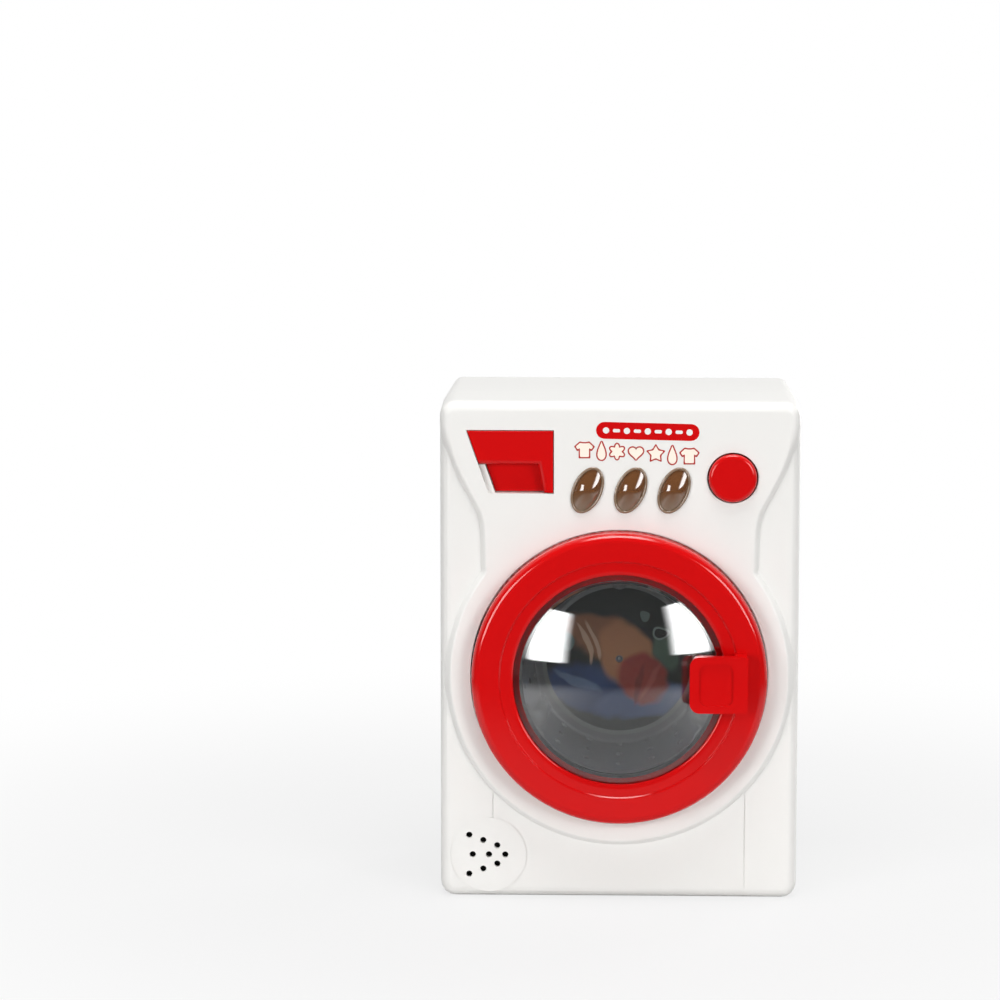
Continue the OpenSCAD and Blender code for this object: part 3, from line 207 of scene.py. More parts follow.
def faded(tree, source, start, end, low, high):
    """A smooth change from low to high while source goes from start to end."""
    fade = node_of(tree, "ShaderNodeMapRange", interpolation_type="SMOOTHSTEP")
    for key, value in (("From Min", start), ("From Max", end), ("To Min", low), ("To Max", high)):
        fade.inputs[key].default_value = value
    tree.links.new(source, fade.inputs["Value"])
    return fade.outputs["Result"]


def mixed(tree, factor, first, second):
    """A mix of two colours, each a colour or another node's output."""
    mix = node_of(tree, "ShaderNodeMix", data_type="RGBA")
    for key, value in (("A", first), ("B", second)):
        if isinstance(value, bpy.types.NodeSocket):
            tree.links.new(value, mix.inputs[key])
        else:
            mix.inputs[key].default_value = (*value, 1)
    tree.links.new(factor, mix.inputs["Factor"])
    return mix.outputs["Result"]


def blended(tree, factor, first, second, output):
    """Shows a blend of two shaders at the output node."""
    mix = fed(tree, node_of(tree, "ShaderNodeMixShader"), factor, first, second)
    tree.links.new(mix.outputs["Shader"], tree.nodes[output].inputs["Surface"])


# ---- materials ----

def new_finish(name, colour, roughness, **sockets):
    """A new Principled material; other sockets are given with underscores for spaces."""
    material = bpy.data.materials.new(name)
    material.use_nodes = True
    shader = material.node_tree.nodes["Principled BSDF"]
    shader.inputs["Base Color"].default_value = (*colour, 1)
    shader.inputs["Roughness"].default_value = roughness
    for socket, value in sockets.items():
        shader.inputs[socket.replace("_", " ")].default_value = value
    return material, material.node_tree, shader


def grain(tree, size, detail, stretch=(1, 1, 1)):
    """Noise on the piece's own coordinates, with features about size metres across."""
    scaled = node_of(tree, "ShaderNodeMapping")
    scaled.inputs["Scale"].default_value = stretch
    tree.links.new(place_on(tree), scaled.inputs["Vector"])
    noise = node_of(tree, "ShaderNodeTexNoise", Scale=1 / size, Detail=detail)
    tree.links.new(scaled.outputs["Vector"], noise.inputs["Vector"])
    return noise.outputs["Fac"]


def spread(tree, noise, low, high):
    """Maps noise, which seldom leaves 0.15 to 0.85, to the range from low to high."""
    return faded(tree, noise, 0.15, 0.85, low, high)


def shaded(tree, shader, colour, source, depth):
    """Varies the base colour by depth, following source."""
    dark = [value * (1 - depth) for value in colour]
    light = [min(value * (1 + depth), 1) for value in colour]
    tree.links.new(mixed(tree, source, dark, light), shader.inputs["Base Color"])


def bumped(tree, shader, source, distance):
    """Raises the surface by up to distance metres, following source."""
    bump = node_of(tree, "ShaderNodeBump", Distance=distance, Strength=1.0)
    tree.links.new(source, bump.inputs["Height"])
    tree.links.new(bump.outputs["Normal"], shader.inputs["Normal"])


def moulded(name, colour, roughness, mottle=0.012, peel=0.000006, **sockets):
    """Moulded plastic: slow flow marks in the colour, uneven gloss and a faint orange peel."""
    material, tree, shader = new_finish(name, colour, roughness, **sockets)
    shaded(tree, shader, colour, grain(tree, 0.09, 1), mottle)
    smudges = spread(tree, grain(tree, 0.06, 1), roughness * 0.93, roughness * 1.07)
    tree.links.new(smudges, shader.inputs["Roughness"])
    bumped(tree, shader, grain(tree, 0.003, 1), peel)
    return material


def smoky(name, colour, roughness, pale, low, high, **sockets):
    """Smoked plastic with a painted reflection of the floor below: it grows paler towards the height
    low.
    """
    material = moulded(name, colour, roughness, 0.08, **sockets)
    tree = material.node_tree
    base = tree.nodes["Principled BSDF"].inputs["Base Color"]
    # painted reflection of the floor: mixed towards pale below high, fully pale at low
    height = faded(tree, axes(tree, place_on(tree))["Z"], low, high, 0.0, 1.0)
    tree.links.new(mixed(tree, height, pale, base.links[0].from_socket), base)
    return material


def metal(name, colour, roughness, stretch=(1, 1, 1)):
    """Plated or turned metal with fine drawn lines."""
    material, tree, shader = new_finish(name, colour, roughness, Metallic=1.0)
    lines = grain(tree, 0.0008, 4, stretch)
    polish = spread(tree, lines, roughness * 0.7, roughness * 1.4)
    tree.links.new(polish, shader.inputs["Roughness"])
    shaded(tree, shader, colour, grain(tree, 0.006, 3), 0.08)
    bumped(tree, shader, lines, 0.000004)
    return material


def clear(name, colour, roughness, ior, **sockets):
    """Clear or tinted moulded plastic."""
    material, tree, shader = new_finish(
        name, colour, roughness, Transmission_Weight=1.0, IOR=ior, **sockets)
    haze = spread(tree, grain(tree, 0.012, 4), roughness * 0.5, roughness * 1.6)
    tree.links.new(haze, shader.inputs["Roughness"])
    bumped(tree, shader, grain(tree, 0.014, 1), 0.000015)
    return material


def patch(tree, point, x, z, across, high, turn, edge):
    """Mask of a soft ellipse on the disc, in millimetres from its centre."""
    place = node_of(tree, "ShaderNodeMapping", vector_type="TEXTURE")
    place.inputs["Location"].default_value = (x * MM, 0, z * MM)
    place.inputs["Rotation"].default_value = (0, math.radians(turn), 0)
    place.inputs["Scale"].default_value = (across * MM, 1, high * MM)
    tree.links.new(point, place.inputs["Vector"])
    away = magnitude(tree, vector_maths(tree, "MULTIPLY", place.outputs["Vector"], (1, 0, 1)))
    return faded(tree, away, 1 - edge, 1 + edge, 1, 0)


# the picture in the drum, in millimetres: its radius inside the pale border, how far noise pushes
# the outlines at most, and its cloths and bubbles, each with its centre, half its width and height,
# its turn in degrees, the softness of its edge and its colour
CARD_RADIUS = 35.2
WARP = 14
CLOTHS = (
    ((-6, 9), (22, 11), 22, 0.18, screen(172, 118, 84)),
    ((4, 2), (13, 17), -32, 0.14, screen(206, 146, 104)),
    ((-17, 7), (1.3, 10), -20, 0.2, screen(226, 190, 158)),
    ((-13, 8), (1.3, 10), -20, 0.2, screen(226, 190, 158)),
    ((-17, -14), (20, 12), 15, 0.2, screen(66, 92, 140)),
    ((-20, -9), (12, 2), 18, 0.3, screen(126, 150, 188)),
    ((10, -20), (22, 9), -12, 0.2, screen(92, 116, 164)),
    ((12, -10), (12, 12), 35, 0.16, screen(176, 70, 56)),
    ((9, -12), (1.6, 10), 20, 0.3, screen(148, 54, 46)),
    ((15, -11), (1.4, 9), 32, 0.3, screen(194, 92, 76)),
    ((24, 6), (7, 12), -10, 0.2, screen(96, 122, 104)),
    ((20, 14), (4, 4), 0, 0.1, screen(150, 168, 160)),
    ((20, 14), (3, 3), 0, 0.1, screen(48, 56, 50)),
    ((13, 21), (2.4, 2.4), 0, 0.12, screen(120, 138, 130)),
    ((-26, 8), (2.6, 2.6), 0, 0.12, screen(110, 128, 122)),
)


def picture_card(ground, rim):
    """Printed card in the drum: folded cloths and bubbles on a dark ground, with a pale border."""
    material, tree, shader = new_finish("picture_card", ground, 0.45)
    centred = vector_maths(tree, "SUBTRACT", place_on(tree), (0, 0, DOOR_Z))
    noise = node_of(tree, "ShaderNodeTexNoise", Scale=45)       # swells about 22 mm across
    tree.links.new(centred, noise.inputs["Vector"])
    push = (WARP * MM, 0, WARP * MM)
    pushed = vector_maths(tree, "MULTIPLY_ADD", noise.outputs["Color"], push, centred)
    picture = ground
    for (x, z), (across, high), turn, edge, colour in CLOTHS:
        mask = patch(tree, pushed, x + WARP / 2, z + WARP / 2, across, high, turn, edge)
        picture = mixed(tree, mask, picture, colour)
    inside = patch(tree, centred, 0, 0, CARD_RADIUS, CARD_RADIUS, 0, 0.012)
    tree.links.new(mixed(tree, inside, rim, picture), shader.inputs["Base Color"])
    bumped(tree, shader, grain(tree, 0.0009, 2), 0.00001)
    return material


def finishes(colours):
    """All materials by the name of the slot that they fill."""
    steel = screen(196, 198, 200)
    return {
        "white_abs": moulded("white_abs", colours.casing, 0.36, 0.004, 0.000002,
                             Specular_IOR_Level=0.35),
        "red_abs": moulded("red_abs", colours.trim, 0.09, 0.02),
        "clear_dome": clear("clear_dome", (0.96, 0.97, 0.98), 0.02, 1.5, Coat_Weight=1.0,
                            Coat_IOR=1.7, Coat_Roughness=0.02),
        # the lenses get the rim's tint painted on their lower part as a reflection of the floor
        "smoky_lens": smoky("smoky_lens", colours.smoke, 0.06, colours.smoke_rim,
                            LENS_Z - 10 * MM, LENS_Z + 1 * MM, Transmission_Weight=0.35,
                            Coat_Weight=1.0, Coat_IOR=1.7, Coat_Roughness=0.03),
        "smoky_rim": moulded("smoky_rim", colours.smoke_rim, 0.08, 0.05, Transmission_Weight=0.3,
                             Coat_Weight=1.0, Coat_IOR=1.6, Coat_Roughness=0.03),
        "grey_tub": moulded("grey_tub", colours.tub, 0.4, 0.04),
        "grey_drum": moulded("grey_drum", colours.drum, 0.3, 0.04),
        "picture_card": picture_card(colours.card, colours.card_rim),
        "screw_steel": metal("screw_steel", steel, 0.3),
        "pin_steel": metal("pin_steel", steel, 0.22, (1, 1, 0.05)),
        "motor_can": metal("motor_can", screen(182, 184, 186), 0.35, (1, 0.05, 1)),
        "bronze": metal("bronze", screen(176, 120, 62), 0.4),
        "brass": metal("brass", screen(212, 176, 96), 0.3),
        "gear_nylon": moulded("gear_nylon", screen(232, 230, 220), 0.45, 0.03),
        "board_green": moulded("board_green", screen(24, 84, 48), 0.35, 0.08),
        "led_white": moulded("led_white", screen(240, 238, 220), 0.2),
        "switch_black": moulded("switch_black", screen(28, 28, 30), 0.4),
        "cone_paper": moulded("cone_paper", screen(52, 50, 48), 0.85, 0.1, 0.00006),
        "cell_jacket": moulded("cell_jacket", screen(40, 78, 140), 0.25, 0.04),
        "print_cream": moulded("print_cream", colours.cream, 0.35),
        "print_red": moulded("print_red", colours.outline, 0.35),
        # dark grey painted on the screw heads as the shade in their cross recesses
        "painted_recess_shade": moulded("painted_recess_shade", screen(40, 40, 42), 0.5),
    }


FINISHES = {}


def finish_of(slot):
    """The material for a slot; all are made the first time that one is asked for."""
    if not FINISHES:
        FINISHES.update(finishes(bpy.context.scene.washer_colours))
    return FINISHES[slot]


# ---- meshes ----

def smoothed(mesh, angle):
    """Shades a mesh smooth, with sharp edges where it turns by more than angle degrees."""
    mesh.polygons.foreach_set("use_smooth", [True] * len(mesh.polygons))
    mesh.set_sharp_from_angle(angle=math.radians(angle))


def make_piece(name, bm, slot, body, replaced=(), angle=35, finish=None):
    """Turns a bmesh into a piece that rides on a body; finish is the slot's own unless given."""
    mesh = bpy.data.meshes.new(name)
    bm.to_mesh(mesh)
    bm.free()
    smoothed(mesh, angle)
    mesh.materials.append(finish_of(finish or slot))
    piece = bpy.data.objects.new(name, mesh)
    bpy.context.scene.collection.objects.link(piece)
    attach(piece, body)
    if replaced:
        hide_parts(*replaced)
    return piece


def copied(node, flat=0.5):
    """A bmesh of a CAD node with its seams closed and faces within flat degrees made one."""
    bm = bmesh.new()
    bm.from_mesh(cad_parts[node].data)
    bmesh.ops.remove_doubles(bm, verts=bm.verts, dist=2e-6)
    if flat:
        bmesh.ops.dissolve_limit(bm, angle_limit=math.radians(flat), verts=bm.verts, edges=bm.edges)
    return bm


def regions_of(bm, flat):
    """Each face's flat region by number, and each region's normal times its area."""
    region, weights = {}, []
    for seed in sorted(bm.faces, key=lambda face: -face.calc_area()):
        if seed in region:
            continue
        region[seed], area, waiting = len(weights), 0.0, [seed]
        while waiting:
            face = waiting.pop()
            area += face.calc_area()
            for edge in face.edges:
                for other in edge.link_faces:
                    if other not in region and other.normal.angle(seed.normal, 9) < flat:
                        region[other] = region[seed]
                        waiting.append(other)
        weights.append(seed.normal * area)
    return region, weights


def fans_of(vert):
    """The corners at a vertex, in groups that no sharp edge parts."""
    left = list(vert.link_loops)
    while left:
        fan, waiting = [], [left.pop()]
        while waiting:
            corner = waiting.pop()
            fan.append(corner)
            sides = [e for e in (corner.edge, corner.link_loop_prev.edge) if e.smooth]
            beside = [c for c in left if c.edge in sides or c.link_loop_prev.edge in sides]
            left = [c for c in left if c not in beside]
            waiting += beside
        yield fan


def weighted(piece, flat=0.2):
    """Sets the normals so that each flat region, however it is cut up, is lit as one flat face."""
    bm = bmesh.new()
    bm.from_mesh(piece.data)
    region, weights = regions_of(bm, math.radians(flat))
    place = {corner: k for k, corner in enumerate(c for face in bm.faces for c in face.loops)}
    normals = [None] * len(place)
    for vert in bm.verts:
        for fan in fans_of(vert):
            total = sum((weights[region[c.face]] * c.calc_angle() for c in fan), Vector())
            for corner in fan:
                normals[place[corner]] = total.normalized()
    bm.free()
    piece.data.normals_split_custom_set(normals)
    return piece


def bevelled(bm, parts, width, segments, affect="EDGES"):
    """Rounds edges or corners of a bmesh."""
    bmesh.ops.bevel(bm, geom=parts, offset=width, offset_type="OFFSET", segments=segments,
                    profile=0.5, affect=affect, clamp_overlap=True, material=-1)


def dressed(node, name, slot, body, width=0.0, angle=35, segments=2, kept=None, flat=0.5):
    """A copy of a CAD node in its place, with edges sharper than angle degrees softened."""
    bm = copied(node, flat)
    if width:
        edges = [e for e in bm.edges if len(e.link_faces) == 2
                 and e.calc_face_angle(0) > math.radians(angle) and (kept is None or kept(e))]
        bevelled(bm, edges, width, segments)
    return weighted(make_piece(name, bm, slot, body, (node,)))


def round_the_clock(count):
    """Angles of count even steps round a circle."""
    return [2 * math.pi * k / count for k in range(count)]


def arc(centre_r, centre_t, radius, start, end, steps):
    """Points of an arc in a profile of (radius, depth), from start to end in degrees."""
    turns = [math.radians(start + (end - start) * k / steps) for k in range(steps + 1)]
    return [(centre_r + radius * math.cos(a), centre_t + radius * math.sin(a)) for a in turns]


def turned(profile, steps):
    """A bmesh turned about Y from a closed profile of (radius, depth behind the panel) pairs."""
    bm = bmesh.new()
    points = [bm.verts.new((r, t, 0)) for r, t in profile]
    lines = [bm.edges.new(pair) for pair in zip(points, points[1:] + points[:1])]
    bmesh.ops.spin(bm, geom=points + lines, cent=(0, 0, 0), axis=(0, 1, 0),
                   angle=2 * math.pi, steps=steps, use_merge=True)
    bmesh.ops.remove_doubles(bm, verts=bm.verts, dist=1e-7)
    bmesh.ops.dissolve_degenerate(bm, edges=bm.edges, dist=1e-8)
    bmesh.ops.recalc_face_normals(bm, faces=bm.faces)
    return bm


def placed(bm, x, z, y=PANEL_Y):
    """The bmesh moved to its place."""
    bmesh.ops.translate(bm, verts=bm.verts, vec=(x, y, z))
    return bm


def oval_loft(rings, lean, count=72):
    """A closed bmesh through ovals of (half width, half length, depth), leaning to the right."""
    bm = bmesh.new()
    c, s = math.cos(lean), math.sin(lean)
    loops = []
    for half_width, half_length, depth in rings:
        oval = [(half_width * math.cos(a), half_length * math.sin(a))
                for a in round_the_clock(count)]
        loops.append([bm.verts.new((x * c + z * s, depth, z * c - x * s)) for x, z in oval])
    for near, far in zip(loops, loops[1:]):
        for k in range(count):
            after = (k + 1) % count
            bm.faces.new((near[k], near[after], far[after], far[k]))
    bm.faces.new(loops[0])
    bm.faces.new(loops[-1])
    bmesh.ops.recalc_face_normals(bm, faces=bm.faces)
    return bm


def cross_slot(size, x, y, z):
    """Flat dark cross on a screw's head that faces the rear, painted shade in place of its cross
    recess.
    """
    arm = size * 0.24
    corner = size * 0.08
    cross = joined([stamp(bar_points(size, arm), corner, 0, 0.04 * MM, 0, 0, y),
                    stamp(bar_points(arm, size), corner, 0, 0.05 * MM, 0, 0, y)])
    half_turn = Matrix.Rotation(math.pi, 3, "Z")
    bmesh.ops.rotate(cross, verts=cross.verts, cent=(0, y, 0), matrix=half_turn)
    bmesh.ops.translate(cross, verts=cross.verts, vec=(x, 0, z))
    return cross


# ---- printed figures ----

def ring_points(radius, count):
    """A circle."""
    return [(radius * math.cos(a), radius * math.sin(a)) for a in round_the_clock(count)]


def drop_points(size):
    """A water drop with its tip up."""
    return [(size * 0.62 * math.sin(a) * math.sin(a / 2) ** 1.5, size * math.cos(a))
            for a in round_the_clock(36)]


def star_points(size):
    """A five-pointed star."""
    reach = [size, size * 0.52] * 5
    return [(r * math.sin(a), r * math.cos(a)) for r, a in zip(reach, round_the_clock(10))]


def shirt_points(size):
    """Half of a short-sleeved shirt, mirrored."""
    half = [(0.22, 0.72), (0.5, 0.8), (1.0, 0.34), (0.78, 0.02), (0.52, 0.2), (0.52, -0.85)]
    right = [(size * x, size * z) for x, z in half]
    return right + [(-x, z) for x, z in reversed(right)]


def flower_points(size):
    """A flower with six petals."""
    return [(size * (0.8 + 0.2 * math.cos(6 * a)) * math.sin(a),
             size * (0.8 + 0.2 * math.cos(6 * a)) * math.cos(a)) for a in round_the_clock(72)]


def heart_points(size):
    """A heart."""
    return [(size * math.sin(a) ** 3,
             size * (0.81 * math.cos(a) - 0.31 * math.cos(2 * a) - 0.12 * math.cos(3 * a)
                     - 0.06 * math.cos(4 * a))) for a in round_the_clock(48)]


def bar_points(length, height):
    """An upright rectangle."""
    return [(length / 2, height / 2), (-length / 2, height / 2), (-length / 2, -height / 2),
            (length / 2, -height / 2)]


def leaned(points, angle):
    """Points turned anticlockwise by angle in degrees, seen from the front."""
    c, s = math.cos(math.radians(angle)), math.sin(math.radians(angle))
    return [(c * x - s * z, s * x + c * z) for x, z in points]


def grown(points, distance):
    """The outline moved outwards by distance, with mitred corners."""
    if distance == 0:
        return points
    out = []
    count = len(points)
    corners = [Vector(point) for point in points]
    area = sum(before.cross(here) for before, here in zip(corners[-1:] + corners, corners))
    side = math.copysign(distance, area)
    for k, here in enumerate(corners):
        first = (here - corners[k - 1]).normalized()
        second = (corners[(k + 1) % count] - here).normalized()
        across = Vector((first.y + second.y, -first.x - second.x))
        out.append(tuple(here + across * side / max(1 + first.dot(second), 0.5)))
    return out


def stamp(points, round_off, grow, depth, x, z, y=PANEL_Y):
    """A thin printed figure: a flat outline, grown, rounded at its corners and given thickness."""
    bm = bmesh.new()
    bm.faces.new([bm.verts.new((px, 0, pz)) for px, pz in grown(points, grow)])
    if round_off:
        bevelled(bm, list(bm.verts), round_off + grow / 2, 4, "VERTICES")
    out = bmesh.ops.extrude_face_region(bm, geom=list(bm.faces))
    moved = [v for v in out["geom"] if isinstance(v, bmesh.types.BMVert)]
    bmesh.ops.translate(bm, verts=moved, vec=(0, -depth, 0))
    bmesh.ops.recalc_face_normals(bm, faces=bm.faces)
    return placed(bm, x, z, y)


def joined(parts):
    """One bmesh from several."""
    whole = bmesh.new()
    for part in parts:
        mesh = bpy.data.meshes.new("part")
        part.to_mesh(mesh)
        part.free()
        whole.from_mesh(mesh)
        bpy.data.meshes.remove(mesh)
    return whole


# ---- operators, one for each piece or group of like pieces ----

class WASHER_OT_hidden_pieces(bpy.types.Operator):
    """Give the carried-over pieces their finishes"""
    bl_idname = "washer.hidden_pieces"
    bl_label = "Carried-over pieces"

    def execute(self, context):
        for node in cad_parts.values():
            for slot in node.material_slots:
                slot.material = finish_of(slot.material.name.split(".")[0])
        return {"FINISHED"}


def on_seam(edge):
    """Whether an edge lies on the outside of the seam between the two shells."""
    corner, shell_wall, reach = 8 * MM, 1 * MM, 0.02 * MM
    for vert in edge.verts:
        if abs(vert.co.y - SEAM_Y) > reach:
            return False
        aside = max(abs(vert.co.x) - BODY_HIGH.x + corner, 0)
        above = max(abs(vert.co.z - BODY_HIGH.z / 2) - BODY_HIGH.z / 2 + corner, 0)
        if math.hypot(aside, above) < corner - shell_wall:
            return False
    return True


class WASHER_OT_casing(bpy.types.Operator):
    """Build the front and rear shells and the battery cover"""
    bl_idname = "washer.casing"
    bl_label = "Casing"

    def execute(self, context):
        groove = 0.35 * MM
        dressed("front_shell", "casing_front", "white_abs", "casing", groove, kept=on_seam, flat=0)
        dressed("rear_shell", "casing_rear", "white_abs", "casing", groove, kept=on_seam, flat=0)
        dressed("battery_cover", "battery_lid", "white_abs", "lid", 0.3 * MM, 50)
        return {"FINISHED"}


def from_axis(point):
    """A point's distance from the axis of the round door."""
    return math.hypot(point.x, point.z - DOOR_Z)


def on_circle(point, circle, reach):
    """Whether a point is near a circle on the door, given by its radius and depth in millimetres."""
    radius, depth = circle
    return math.hypot(from_axis(point) - radius * MM, point.y - PANEL_Y - depth * MM) < reach


class WASHER_OT_door(bpy.types.Operator):
    """Build the door's ring and its back ring"""
    bl_idname = "washer.door"
    bl_label = "Door"

    def execute(self, context):
        ring = copied("door_ring", 0)
        for vert in ring.verts:
            for packed, (radius, depth), _ in RIM_STEPS:
                if on_circle(vert.co, packed, 0.15 * MM):
                    grow = radius * MM / from_axis(vert.co)
                    vert.co = (vert.co.x * grow, PANEL_Y + depth * MM,
                               DOOR_Z + (vert.co.z - DOOR_Z) * grow)
                    break
        # the inside of the wall is scraped beside the hinge, so that the open door clears the ears
        wall_inside, hinge_half, scrape = 67.8 * MM, 19 * MM, 0.4 * MM
        for vert in ring.verts:
            beside = vert.co.x < 0 and abs(vert.co.z - DOOR_Z) < hinge_half
            if beside and abs(from_axis(vert.co) - wall_inside) < 0.1 * MM:
                vert.co.x -= scrape
        for _, shown, round_off in RIM_STEPS:
            if round_off:
                edges = [e for e in ring.edges
                         if all(on_circle(v.co, shown, 0.02 * MM) for v in e.verts)]
                bevelled(ring, edges, round_off * MM, 5)
        weighted(make_piece("door_rim", ring, "red_abs", "door", ("door_ring",)))
        dressed("door_back_ring", "door_back", "red_abs", "door", 0.3 * MM, 50)
        return {"FINISHED"}


class WASHER_OT_handle(bpy.types.Operator):
    """Build the door handle"""
    bl_idname = "washer.handle"
    bl_label = "Handle"

    def execute(self, context):
        sizes = context.scene.washer_sizes
        dressed("door_handle", "door_pull", "red_abs", "door", sizes.soft_edge, 40, 4)
        return {"FINISHED"}


class WASHER_OT_dome(bpy.types.Operator):
    """Build the clear dome of the door"""
    bl_idname = "washer.dome"
    bl_label = "Dome"

    def execute(self, context):
        wall = context.scene.washer_sizes.dome_wall
        low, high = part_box("door_window")
        flange_r = (high.z - low.z) / 2
        apex, back = low.y - PANEL_Y, high.y - PANEL_Y
        flange_front = back - wall + 0.2 * MM
        base_r, rise = 47.2 * MM, 11 * MM
        ball = (base_r ** 2 + rise ** 2) / (2 * rise)
        edge = math.degrees(math.asin(base_r / ball))
        inner_edge = math.degrees(math.asin((base_r - wall) / (ball - wall)))
        outer = arc(0, apex + ball, ball, -90, -90 + edge, 40)
        inner = arc(0, apex + ball, ball - wall, -90 + inner_edge, -90, 40)
        profile = (outer + [(base_r, flange_front), (flange_r, flange_front), (flange_r, back),
                            (base_r - wall, back)] + inner)
        for end in (0, -1):
            profile[end] = (0, profile[end][1])
        bm = placed(turned(profile, 192), 0, DOOR_Z)
        make_piece("door_dome", bm, "clear_dome", "door", ("door_window",))
        return {"FINISHED"}


class WASHER_OT_drawer(bpy.types.Operator):
    """Build the detergent drawer"""
    bl_idname = "washer.drawer"
    bl_label = "Drawer"

    def execute(self, context):
        sizes = context.scene.washer_sizes
        dressed("detergent_drawer", "drawer_front", "red_abs", "drawer", sizes.soft_edge, 40, 4)
        return {"FINISHED"}


class WASHER_OT_lenses(bpy.types.Operator):
    """Build the three lamp lenses"""
    bl_idname = "washer.lenses"
    bl_label = "Lenses"

    def execute(self, context):
        sizes = context.scene.washer_sizes
        half_width, half_length = sizes.lens_width / 2, sizes.lens_length / 2
        rim = LENS_RIM[0][0] * MM
        short, long = half_width - rim, half_length - rim
        base, back = 0.35 * MM, 0.6 * MM        # the dome's foot and its hidden end
        ball = (short ** 2 + sizes.lens_rise ** 2) / (2 * sizes.lens_rise)
        steps = 24
        dome = []
        for k in range(1, steps + 1):
            share = math.sin(math.radians(90 * k / steps))
            fall = ball - math.sqrt(ball ** 2 - (share * short) ** 2)
            dome.append((share * short, share * (short + (long - short) * share ** 2),
                         fall - base - sizes.lens_rise))
        dome.append((short, long, back))
        flange = [(half_width - inset * MM, half_length - inset * MM, -rise * MM)
                  for inset, rise in LENS_RIM]
        for node in LENS_NODES:
            x, _, z = middle(node)
            lens = placed(oval_loft(dome, sizes.lens_tilt), x, z)
            make_piece(node.replace("lamp_lens", "lens"), lens, "smoky_lens", "casing", (node,), 50)
            collar = placed(oval_loft(flange, sizes.lens_tilt), x, z)
            make_piece(node.replace("lamp_lens", "lens_rim"), collar, "smoky_lens", "casing",
                       angle=50, finish="smoky_rim")
        return {"FINISHED"}


class WASHER_OT_button(bpy.types.Operator):
    """Build the start button"""
    bl_idname = "washer.button"
    bl_label = "Button"

    def execute(self, context):
        sizes = context.scene.washer_sizes
        radius, edge = sizes.button_radius, sizes.button_edge
        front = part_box("start_button")[0].y - PANEL_Y
        flat_r = radius - edge - 3 * MM
        profile = [(0, front), (flat_r, front)]
        profile += arc(radius - edge, front + edge, edge, -90, 0, 12)
        profile += [(r * MM, t * MM) for r, t in BUTTON_BACK]
        x, _, z = middle("start_button")
        cap = placed(turned(profile, 96), x, z)
        weighted(make_piece("button_cap", cap, "red_abs", "button", ("start_button",)))
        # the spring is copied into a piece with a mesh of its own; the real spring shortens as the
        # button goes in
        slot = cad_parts["button_spring"].material_slots[0].name.split(".")[0]
        coil = make_piece("button_coil", copied("button_spring", 0), slot, "casing",
                          ("button_spring",), 60)
        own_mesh(coil)
        return {"FINISHED"}


class WASHER_OT_drum(bpy.types.Operator):
    """Build the drum"""
    bl_idname = "washer.drum"
    bl_label = "Drum"

    def execute(self, context):
        dressed("drum", "drum_shell", "grey_drum", "drum", flat=0)
        return {"FINISHED"}


def rear_ends(node):
    """The middle of the rear end of each separate solid of a node."""
    bm = copied(node, 0)
    left, ends = set(bm.verts), []
    while left:
        waiting, island = [left.pop()], []
        while waiting:
            vert = waiting.pop()
            island.append(vert.co.copy())
            beside = {e.other_vert(vert) for e in vert.link_edges} & left
            left -= beside
            waiting += beside
        spans = [(min(c[k] for c in island), max(c[k] for c in island)) for k in range(3)]
        ends.append((sum(spans[0]) / 2, spans[1][1], sum(spans[2]) / 2))
    bm.free()
    return ends


class WASHER_OT_screws(bpy.types.Operator):
    """Paint dark crosses on the screws that show, as the shade of their cross recesses"""
    bl_idname = "washer.screws"
    bl_label = "Screws"

    def execute(self, context):
        for node, name, size, body in (("battery_cover_screw", "lid_screw_cross", 2.6, "lid"),
                                       ("shell_screws", "shell_screw_crosses", 3.2, "casing"),
                                       ("door_screws", "door_screw_crosses", 2.4, "door")):
            crosses = [cross_slot(size * MM, x, y, z) for x, y, z in rear_ends(node)]
            # the crosses are thin dark stamps: painted shade of the recesses, not cut recesses
            make_piece(name, joined(crosses), "screw_steel", body, finish="painted_recess_shade")
        return {"FINISHED"}


class WASHER_OT_prints(bpy.types.Operator):
    """Print the bar and the row of figures above the lamps"""
    bl_idname = "washer.prints"
    bl_label = "Prints"

    def execute(self, context):
        thick = context.scene.washer_sizes.print_thick
        over = 1.6 * thick                      # so that the upper layer shows
        bar_x, bar_z, bar_corner = 12.9 * MM, 226 * MM, 3.9 * MM
        lean, pitch, marks_across = -1.2, 4.9 * MM, 9
        bar = leaned(bar_points(48.6 * MM, 8 * MM), lean)
        make_piece("print_bar", stamp(bar, bar_corner, 0, thick, bar_x, bar_z), "red_abs", "casing")
        dot = ring_points(1.5 * MM, 20)
        dash = leaned(bar_points(3.4 * MM, 1.6 * MM), lean)
        marks = []
        for k in range(marks_across):
            along = (k - marks_across // 2) * pitch
            points, corner = (dash, 0.7 * MM) if k % 2 else (dot, 0)
            marks.append(stamp(points, corner, 0, over, bar_x + along,
                               bar_z + along * math.tan(math.radians(lean))))
        make_piece("print_marks", joined(marks), "white_abs", "casing")
        # the row of figures falls a little to the right
        row = [(-16.8, shirt_points, 4.1), (-8.8, drop_points, 4.3), (-1.5, flower_points, 3.6),
               (7.4, heart_points, 3.3), (16.7, star_points, 3.8), (24.5, drop_points, 4.3),
               (32.5, shirt_points, 4.1)]
        outlines, fills = [], []
        for x, figure, size in row:
            z = (217.4 - 0.055 * (x + 20)) * MM
            corner = 0.5 * MM if figure in (shirt_points, star_points) else 0
            outlines.append(stamp(figure(size * MM), corner, 0.65 * MM, thick, x * MM, z))
            fills.append(stamp(figure(size * MM), corner, 0, over, x * MM, z))
        make_piece("print_outlines", joined(outlines), "red_abs", "casing", finish="print_red")
        make_piece("print_fills", joined(fills), "white_abs", "casing", finish="print_cream")
        return {"FINISHED"}


# ---- stage ----

